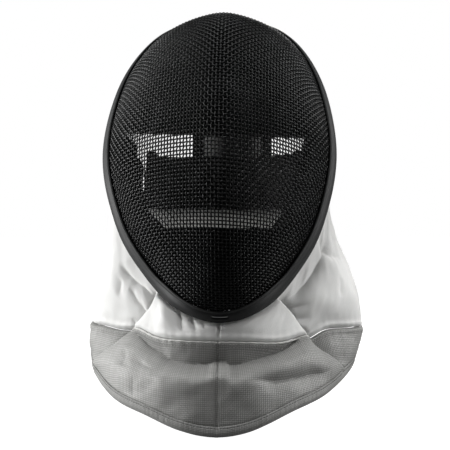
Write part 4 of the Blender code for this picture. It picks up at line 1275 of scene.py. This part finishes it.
class MASK_OT_edge_trim(bpy.types.Operator):
    """Mould the trim around the mesh's edge, with its lip, its groove and the slot at the chin"""
    bl_idname = "mask.edge_trim"
    bl_label = "Edge trim"

    def execute(self, context):
        """The section is carried along the edge, laid on the mesh where it covers it, and evened out."""
        own = context.scene.mask_trim
        fine = np.linspace(-LAST_ROW, LAST_ROW, 2801)
        run = run_along(edge_point(fine))
        chin = np.interp(0.0, fine, run)
        marks = np.linspace(0, run[-1], own.steps, endpoint=False)
        about, count = CHIN_FINE
        near = chin + np.linspace(-about, about, count)
        marks = np.sort(np.concatenate((marks[np.abs(marks - chin) > about + 0.0005], near)))
        loop, from_chin = np.interp(marks, run, fine), (marks - chin)[:, None]
        row = np.abs(loop)[:, None]

        edge, normal, beyond = edge_frame(loop)
        inward, height = np.array(TRIM_SECTION).T * 1e-4
        share = TRIM_CHIN_SHARE + (1 - TRIM_CHIN_SHARE) * smooth_step(*TRIM_CHIN_ROWS, row)
        reach = np.where(inward > 0, inward * share, inward)
        points = edge[:, None] - beyond[:, None] * reach[..., None]
        normals = np.repeat(normal[:, None], len(inward), axis=1)
        covers = inward > 0
        points[:, covers], normals[:, covers] = laid_on_mesh(points[:, covers])
        spaced = np.abs(from_chin[:, 0]) > about + 0.003
        for values in (points, normals):
            values[spaced] = evened(values, (1, 2, 3, 2, 1))[spaced]

        corner = np.arange(len(inward))
        top = (corner > TRIM_TOP[0]) & (corner < TRIM_TOP[1])
        place, half, depth = TRIM_GROOVE
        groove = depth * bump(inward, place, half) * top * smooth_step(*GROOVE_ROWS, row)
        length, place, half, depth = CHIN_SLOT
        here = (1 - smooth_step(length - 0.0006, length + 0.0006, np.abs(from_chin))) * top
        slot = here * (depth * bump(inward, place, half) - SLOT_LIP[0] * bump(inward, *SLOT_LIP[1:]))
        shallow = 1 - CHIN_SHALLOW * bump(from_chin, 0, 0.035) * (height < 0)
        points = points + unit(normals) * (height * shallow - groove - slot)[..., None]
        # Wear and painted highlight on the lip and the rim; beside the slot, a painted highlight line.
        wear_and_painted_highlight = 0.1 + sum(much * bump(inward, place, half) * where for (much, place, half), where in zip(
            WEAR_AND_PAINTED_HIGHLIGHT, (height > 0.0019, height > 0, here)))
        made = mesh_object("edge_trim_moulding", points[:, ::-1], ring_faces(len(loop), len(inward), True),
                           [moulded_trim(tuple(own.colour))], marks={"wear_and_painted_highlight": wear_and_painted_highlight[:, ::-1]})
        keep(made, "charcoal_trim", "edge_trim")
        return {"FINISHED"}


class MASK_OT_padding(bpy.types.Operator):
    """Sew the pads of the crown, the cheeks and the chin, swell them and bind their borders"""
    bl_idname = "mask.padding"
    bl_label = "Padding"

    def execute(self, context):
        """Each pad is a slab whose inner face swells by a cloth simulation; a cord is sewn along its border."""
        own = context.scene.mask_padding
        cover = cloth_material("pad_cover", own.colour, 0.0007, height=0.00010, gloss=0.0)
        piping = cloth_material("pad_piping", shade(own.colour, 0.8), 0.0006, gloss=0.2)
        thread = thread_material("black_thread", (0.03, 0.03, 0.032))
        for name, (across, row, depth, channels) in pad_layout().items():
            outer, inner, sewn = pad_faces(across, row, depth, channels)
            if name.endswith("left"):
                outer, inner, sewn = outer[::-1], inner[::-1], sewn[::-1]
            uv = paired(run_along(outer[:, outer.shape[1] // 2])[:, None], run_along(outer, axis=1))
            pad = slab(name + "_cover", outer, inner, cover, uv)
            swelled(pad, np.concatenate((np.ones(sewn.size), sewn.ravel() > 0.5)), own.pressure, own.swell)
            keep(subdivided(pad), "black_padding", name, fill=0.8)
            rim = resampled(border_of((outer + inner) / 2), 160, closed=True)
            for _ in range(2):
                rim = evened(rim, (1, 2, 1))
            middle = outer.reshape(-1, 3).mean(0)
            cord = tube(name + "_piping", rim, unit(middle - rim), 0.0015, piping, closed=True)
            keep(cord, "black_padding")
            for index, channel in enumerate(channels):
                column = int(round((channel + 1) / 2 * (len(outer) - 1)))
                line = inner[column, 3:-3]
                up = unit(line - outer[column, 3:-3])
                stitches(f"{name}_stitches_{index + 1}", line + up * STITCH_LIFT, up, thread, "black_padding",
                         0.0040, 0.0030, 0.0003)
        return {"FINISHED"}


class MASK_OT_straps(bpy.types.Operator):
    """Weave the two elastic straps behind the head and stitch their ends"""
    bl_idname = "mask.straps"
    bl_label = "Straps"

    def execute(self, context):
        """A strap lies on half an ellipse; its ribs are half sines across its width, its selvedges are rounded."""
        own = context.scene.mask_straps
        elastic = {"height": 0.00015, "roughness": (0.7, 0.9)}
        black = cloth_material("black_elastic", own.black, 0.0009, gloss=0.05, **elastic)
        grey = cloth_material("grey_elastic", own.grey, 0.0009, through=0.6, **elastic)
        thread = thread_material("strap_thread", (0.05, 0.05, 0.05))
        turns = np.linspace(-STRAP_TURN, STRAP_TURN, 241)
        for name, finish, slot in (("back", black, "black_elastic"), ("neck", grey, "grey_elastic")):
            half_width, start_y, reach, low, high = STRAPS[name]
            tops = np.full(turns.shape, high)
            if name == "back":
                begin, step, rise = (np.where(turns < 0, *pair) for pair in (TAB_FROM, TAB_STEP, TAB_RISE))
                narrow, size = np.arcsin(begin / half_width), np.abs(turns)
                tops = (high + rise * smooth_step(narrow - 0.19, narrow - 0.13, size)
                        + STRAP_SLANT * half_width * np.sin(turns))
                tops = tops + (TAB_HIGH - tops) * smooth_step(narrow - step, narrow + step, size)
            count = max(9, int(round((high - low) / own.rib * 6)) + 1)
            heights = between(np.full(turns.shape, low), tops, count)
            from_edge = np.minimum(heights - low, tops[:, None] - heights)
            thick = 0.5 + 0.5 * rounded(from_edge, SELVEDGE)
            ribs = RIB_HEIGHT * np.cos(2 * math.pi * (heights - low) / own.rib)

            def face(sign):
                offset = STRAP_THICK / 2 + sign * (STRAP_THICK / 2 * thick + ribs - 0.0002)
                return np.stack((STRAP_X + (half_width + offset) * np.sin(turns)[:, None],
                                 start_y + (reach + offset) * np.cos(turns)[:, None], heights), axis=-1)

            outer = face(1)
            uv = paired(run_along(outer[:, 0])[:, None], heights)
            made = slab(name + "_strap_elastic", outer[::-1], face(-1)[::-1], finish, uv[::-1])
            keep(made, slot, name + "_strap")
            for column, label in ((12, "left"), (-13, "right")):
                line = outer[column, 3:-3]
                up = line.mean(0) - np.array((STRAP_X, start_y, line[:, 2].mean()))
                up = np.broadcast_to(unit(up), line.shape)
                stitches(f"{name}_strap_stitches_{label}", line + up * STITCH_LIFT, up, thread, slot, 0.0032,
                         0.0024)
        return {"FINISHED"}


class MASK_OT_tongue(bpy.types.Operator):
    """Make the sprung tongue behind the head: quilted pad, binding tape and its steel plate"""
    bl_idname = "mask.tongue"
    bl_label = "Tongue"

    def execute(self, context):
        """The tongue follows its middle line and bows across it by x^2 / 2R. The pad is sewn into long channels."""
        own = context.scene.mask_straps
        # Painted light: the tongue's sides are painted pale, as if lit from the sides.
        cloth = cloth_material("tongue_cloth", own.tongue, 0.0008, rim=(0.85, 0.85, 0.84), through=0.25)
        tape = cloth_material("binding_tape", own.black, 0.0007, height=0.00010, gloss=0.05)
        thread = thread_material("grey_thread", (0.22, 0.22, 0.22))
        length = tongue_length()

        side, down = tongue_outline(TONGUE_BINDING + PANEL_GAP, 22)
        x = side[:-1, None] * np.linspace(-1, 1, 41)
        along = np.broadcast_to(down[:-1, None], x.shape)
        away = border_distance(tongue_face(x, along, 0.0))
        sewn = np.maximum(*(bump(x, place, 0.0016) for place in CHANNELS["tongue"])) * smooth_step(0, 0.01, away)
        half = TONGUE_THICK["pad"] / 2
        thick = half * (0.40 + 0.60 * rounded(away, 0.008)) * (1 - 0.45 * sewn)
        # Painted light: pale rises from 4 mm to 26 mm left of the middle, and to 0.7 from 17 mm to 26 mm right of it.
        pale = smooth_step(-0.004, -0.026, x) + 0.7 * smooth_step(0.017, 0.026, x)
        front, back, uv, pale, pinned = (values[::-1] for values in (
            tongue_face(x, along, thick), tongue_face(x, along, -thick), paired(x, along * length), pale,
            (sewn > 0.5) | (away < 0.002)))
        pad = slab("tongue_pad_quilted", front, back, cloth, uv, marks={"pale": pale})
        swelled(pad, np.tile(pinned.ravel(), 2), context.scene.mask_padding.pressure, 0.0016)
        keep(subdivided(pad), "grey_tongue_cloth", "tongue_pad", fill=0.5)
        reach = np.linspace(0.05, 0.93, 120)
        for label, place in zip(("left", "right"), CHANNELS["tongue"]):
            tongue_seam("tongue_stitches_" + label, place, reach, half * 0.62, thread, "grey_tongue_cloth", 0.0036,
                        0.0026)

        fan = np.linspace(0, 1, len(TONGUE_TAPE))
        x, along = (outer[:, None] * (1 - fan) + inner[:, None] * fan for outer, inner in zip(
            tongue_outline(0.0, 24), tongue_outline(TONGUE_BINDING + 0.0018, 24)))
        x, along = np.concatenate((x, -x[-2::-1])), np.concatenate((along, along[-2::-1]))
        thick = TONGUE_THICK["binding"] / 2 * rounded(np.array(TONGUE_TAPE), 1)
        made = slab("tongue_binding_tape", tongue_face(x, along, thick), tongue_face(x, along, -thick), tape,
                    paired(x, along * length))
        keep(made, "black_elastic", "tongue_binding")
        for side, label in ((1, "back"), (-1, "front")):
            tongue_seam("tongue_binding_stitches_" + label, x[6:-6, 6], along[6:-6, 6], side * 0.00232, thread,
                        "black_elastic", 0.0034, 0.0025)
        steel = brushed_steel()
        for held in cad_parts["tongue_clip"].material_slots:
            held.material = steel
        return {"FINISHED"}


class MASK_OT_bib(bpy.types.Operator):
    """Sew the quilted bib from its six panels, its welt, its binding and their stitches"""
    bl_idname = "mask.bib"
    bl_label = "Bib"

    def execute(self, context):
        own = context.scene.mask_bib
        white = cloth_material("white_cloth", own.white, 0.0006, gap_tint=0.93, height=0.00006, drift=0.012,
                               thread_tint=0.03, sheen=0.05)
        lame = cloth_material("lame_cloth", own.lame, own.lame_pitch, gap_tint=0.40, height=0.00020, drift=0.07,
                              roughness=(0.48, 0.7), metallic=0.25, thread_tint=0.35)
        lining = cloth_material("lining_cloth", shade(own.white, 0.92), 0.0009, gap_tint=0.85, height=0.00010,
                                drift=0.03, sheen=0.1)
        tape = cloth_material("hem_tape", shade(own.lame, 0.92), 0.0013, gap_tint=0.5, height=0.00020,
                              thread_tint=0.3, roughness=(0.6, 0.85))
        # Painted highlight: the welt is lame painted 1.9 times paler, for the light along the seam's ridge.
        welt = cloth_material("painted_highlight_welt", shade(own.lame, 1.9), 0.0008, gap_tint=0.85, height=0.00008)
        pale = thread_material("pale_thread", (0.42, 0.42, 0.40))
        # The hem's thread is dark grey, and its darkness is also painted shade for the stitch holes.
        grey = thread_material("hem_thread", (0.12, 0.12, 0.12))

        for part, finish, slot, rows, side_rows in (("upper", white, "white_quilted_cloth", 40, 92),
                                                    ("lower", lame, "grey_lame", 60, 38)):
            for label, grid in (("left", (105, side_rows)), ("front", (181, rows)), ("right", (105, side_rows))):
                name = f"bib_{part}_{label}"
                keep(bib_cloth(name + "_quilted", part, label, grid, finish, lining), slot, name, fill=0.35)

        for label, low, high in (("left", -0.995, -0.51), ("front", -0.49, 0.49), ("right", 0.51, 0.995)):
            around = np.linspace(low, high, 301)
            length = bib_lengths("lower", around)[0]
            if label == "front":
                line, normal = bib_surface("lower", around, 0.0009 / length)
                keep(tube("bib_seam_welt", line + normal * 0.0006, normal, 0.00085, welt), "grey_lame")
            for index, place in enumerate(SEAM_STITCHES):
                line, normal = bib_surface("lower", around, place / length)
                stitches(f"bib_seam_stitches_{label}_{index + 1}", line, normal, pale, "grey_lame", own.stitch)

        around = np.linspace(-1, 1, 421)
        length, way = bib_lengths("lower", around)
        begin = bib_surface("lower", around, 1 - HEM_WIDTH / length)[0]
        normal = bib_normal("lower", around, np.full_like(around, 0.98))
        down = unit(bib_base("lower", around, np.ones_like(around)) - begin)
        proud, radius, turn = (HEM_THICK - BIB_WALL) / 2, HEM_THICK / 2, np.linspace(0, math.pi, 9)
        edge = np.stack((HEM_WIDTH - radius + radius * np.sin(turn), radius * np.cos(turn) - radius), axis=-1)
        section = np.concatenate((HEM_FACE, edge, np.array(HEM_BACK) - (0.0, HEM_THICK))) + (0.0, proud)
        run, rise = section.T
        ripple, size, wander = HEM_WAVE
        wave = ripple * np.sin(2 * math.pi * way / size + wander * soft_noise(way, 0 * way, 0.020, 3))
        wave = wave + HEM_UNEVEN[0] * soft_noise(way, 0 * way, HEM_UNEVEN[1], 7)
        height = rise + wave[:, None] * (rise > 0)
        rings = begin[:, None] + down[:, None] * run[:, None] + normal[:, None] * height[..., None]
        uv = paired(way[:, None], run_along(section))
        made = mesh_object("bib_binding_tape", rings[:, ::-1], ring_faces(len(around), len(run), False), [tape],
                           uv=uv[:, ::-1])
        keep(made, "grey_lame", "bib_binding")
        stitches("bib_hem_stitches", rings[:, 2] + normal * 0.0001, normal, grey, "grey_lame", own.stitch)
        return {"FINISHED"}


class MASK_OT_studio(bpy.types.Operator):
    """Set up the plain pale floor, the soft lights and the camera"""
    bl_idname = "mask.studio"
    bl_label = "Studio"

    def execute(self, context):
        """The camera alone sees the surroundings white, and the floor glows white to it away from the mask."""
        scene = context.scene
        own = scene.mask_studio
        scene.view_settings.view_transform = "Standard"
        scene.world = bpy.data.worlds.new("studio_world")
        scene.world.use_nodes = True
        tree = scene.world.node_tree
        seen = node(tree, "LightPath").outputs["Is Camera Ray"]
        put(tree, tree.nodes["Background"].inputs, {"Color": (1.0, 1.0, 1.0, 1.0),
                                                    "Strength": span(tree, seen, 0.0, 1.0, own.fill, 1.0)})

        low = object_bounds()[0]
        bpy.ops.mesh.primitive_grid_add(x_subdivisions=24, y_subdivisions=24, size=40.0,
                                        location=(0.0, 0.0, low[2] - 0.0004))
        floor = context.object
        floor.name = "studio_floor"
        made, tree, shader, place, _ = blank_material("studio_floor")
        seen = node(tree, "LightPath").outputs["Is Camera Ray"]
        away = node(tree, "VectorMath", {0: place}, operation="LENGTH").outputs["Value"]
        bright = product(tree, seen, span(tree, away, 0.15, 0.60, 0.95, 1.0))
        grey = blended(tree, noise(tree, place, 3.0, 2.0), (0.20, 0.20, 0.20), (0.22, 0.22, 0.22))
        put(tree, shader, {"Base Color": grey, "Roughness": 0.9, "Specular IOR Level": 0.1,
                           "Emission Strength": 1.0,
                           "Emission Color": blended(tree, bright, (0.0, 0.0, 0.0), (1.0, 1.0, 1.0))})
        floor.data.materials.append(made)
        floor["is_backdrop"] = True

        middle = Vector(VIEW_MIDDLE)
        powers = (own.key, own.rim, own.top, own.top * REAR_TOP_SHARE, BACK_POWER)
        for (name, place, size), power in zip(LIGHTS, powers):
            light = bpy.data.lights.new(name, "AREA")
            light.energy, light.size = power, size
            lamp = bpy.data.objects.new(name, light)
            scene.collection.objects.link(lamp)
            lamp.location = middle + Vector(place)
            lamp.rotation_euler = Vector(place).to_track_quat("Z", "Y").to_euler()

        turn = math.radians(VIEW_TURN)
        forward = Vector((-math.sin(turn), math.cos(turn), 0.0))
        right = Vector((math.cos(turn), math.sin(turn), 0.0))
        lens = bpy.data.cameras.new("camera")
        lens.sensor_width, lens.lens = 36.0, own.focal
        camera = bpy.data.objects.new("camera", lens)
        scene.collection.objects.link(camera)
        camera.location = right * middle.x + Vector((0.0, *VIEW_MIDDLE[1:])) - forward * VIEW_AWAY
        camera.rotation_euler = forward.to_track_quat("-Z", "Y").to_euler()
        scene.camera = camera
        return {"FINISHED"}


class MASK_PT_panel(bpy.types.Panel):
    """Lists the mask's pieces and their settings"""
    bl_idname = "MASK_PT_panel"
    bl_label = "Fencing mask"
    bl_space_type = "VIEW_3D"
    bl_region_type = "UI"
    bl_category = "Fencing mask"

    def draw(self, context):
        for operator, group in STEPS:
            box = self.layout.box()
            box.operator(operator)
            own = getattr(context.scene, group)
            for label in own.bl_rna.properties.keys():
                if label not in ("rna_type", "name"):
                    box.prop(own, label)


STEPS = (
    ("mask.woven_wire", "mask_wire"),
    ("mask.edge_trim", "mask_trim"),
    ("mask.padding", "mask_padding"),
    ("mask.straps", "mask_straps"),
    ("mask.tongue", "mask_straps"),
    ("mask.bib", "mask_bib"),
    ("mask.studio", "mask_studio"),
)
GROUPS = {"mask_wire": WireSettings, "mask_trim": TrimSettings, "mask_padding": PaddingSettings,
          "mask_straps": StrapSettings, "mask_bib": BibSettings, "mask_studio": StudioSettings}
CLASSES = (*GROUPS.values(), MASK_OT_woven_wire, MASK_OT_edge_trim, MASK_OT_padding, MASK_OT_straps,
           MASK_OT_tongue, MASK_OT_bib, MASK_OT_studio, MASK_PT_panel)


def register():
    """Add the settings, the operators and the panel."""
    for made in CLASSES:
        bpy.utils.register_class(made)
    for name, group in GROUPS.items():
        setattr(bpy.types.Scene, name, PointerProperty(type=group))


def unregister():
    """Take them out again."""
    for name in GROUPS:
        delattr(bpy.types.Scene, name)
    for made in reversed(CLASSES):
        bpy.utils.unregister_class(made)


def main():
    """Make every piece in order."""
    register()
    for operator, _ in STEPS:
        category, name = operator.split(".")
        getattr(getattr(bpy.ops, category), name)()


if __name__ == "__main__":
    main()
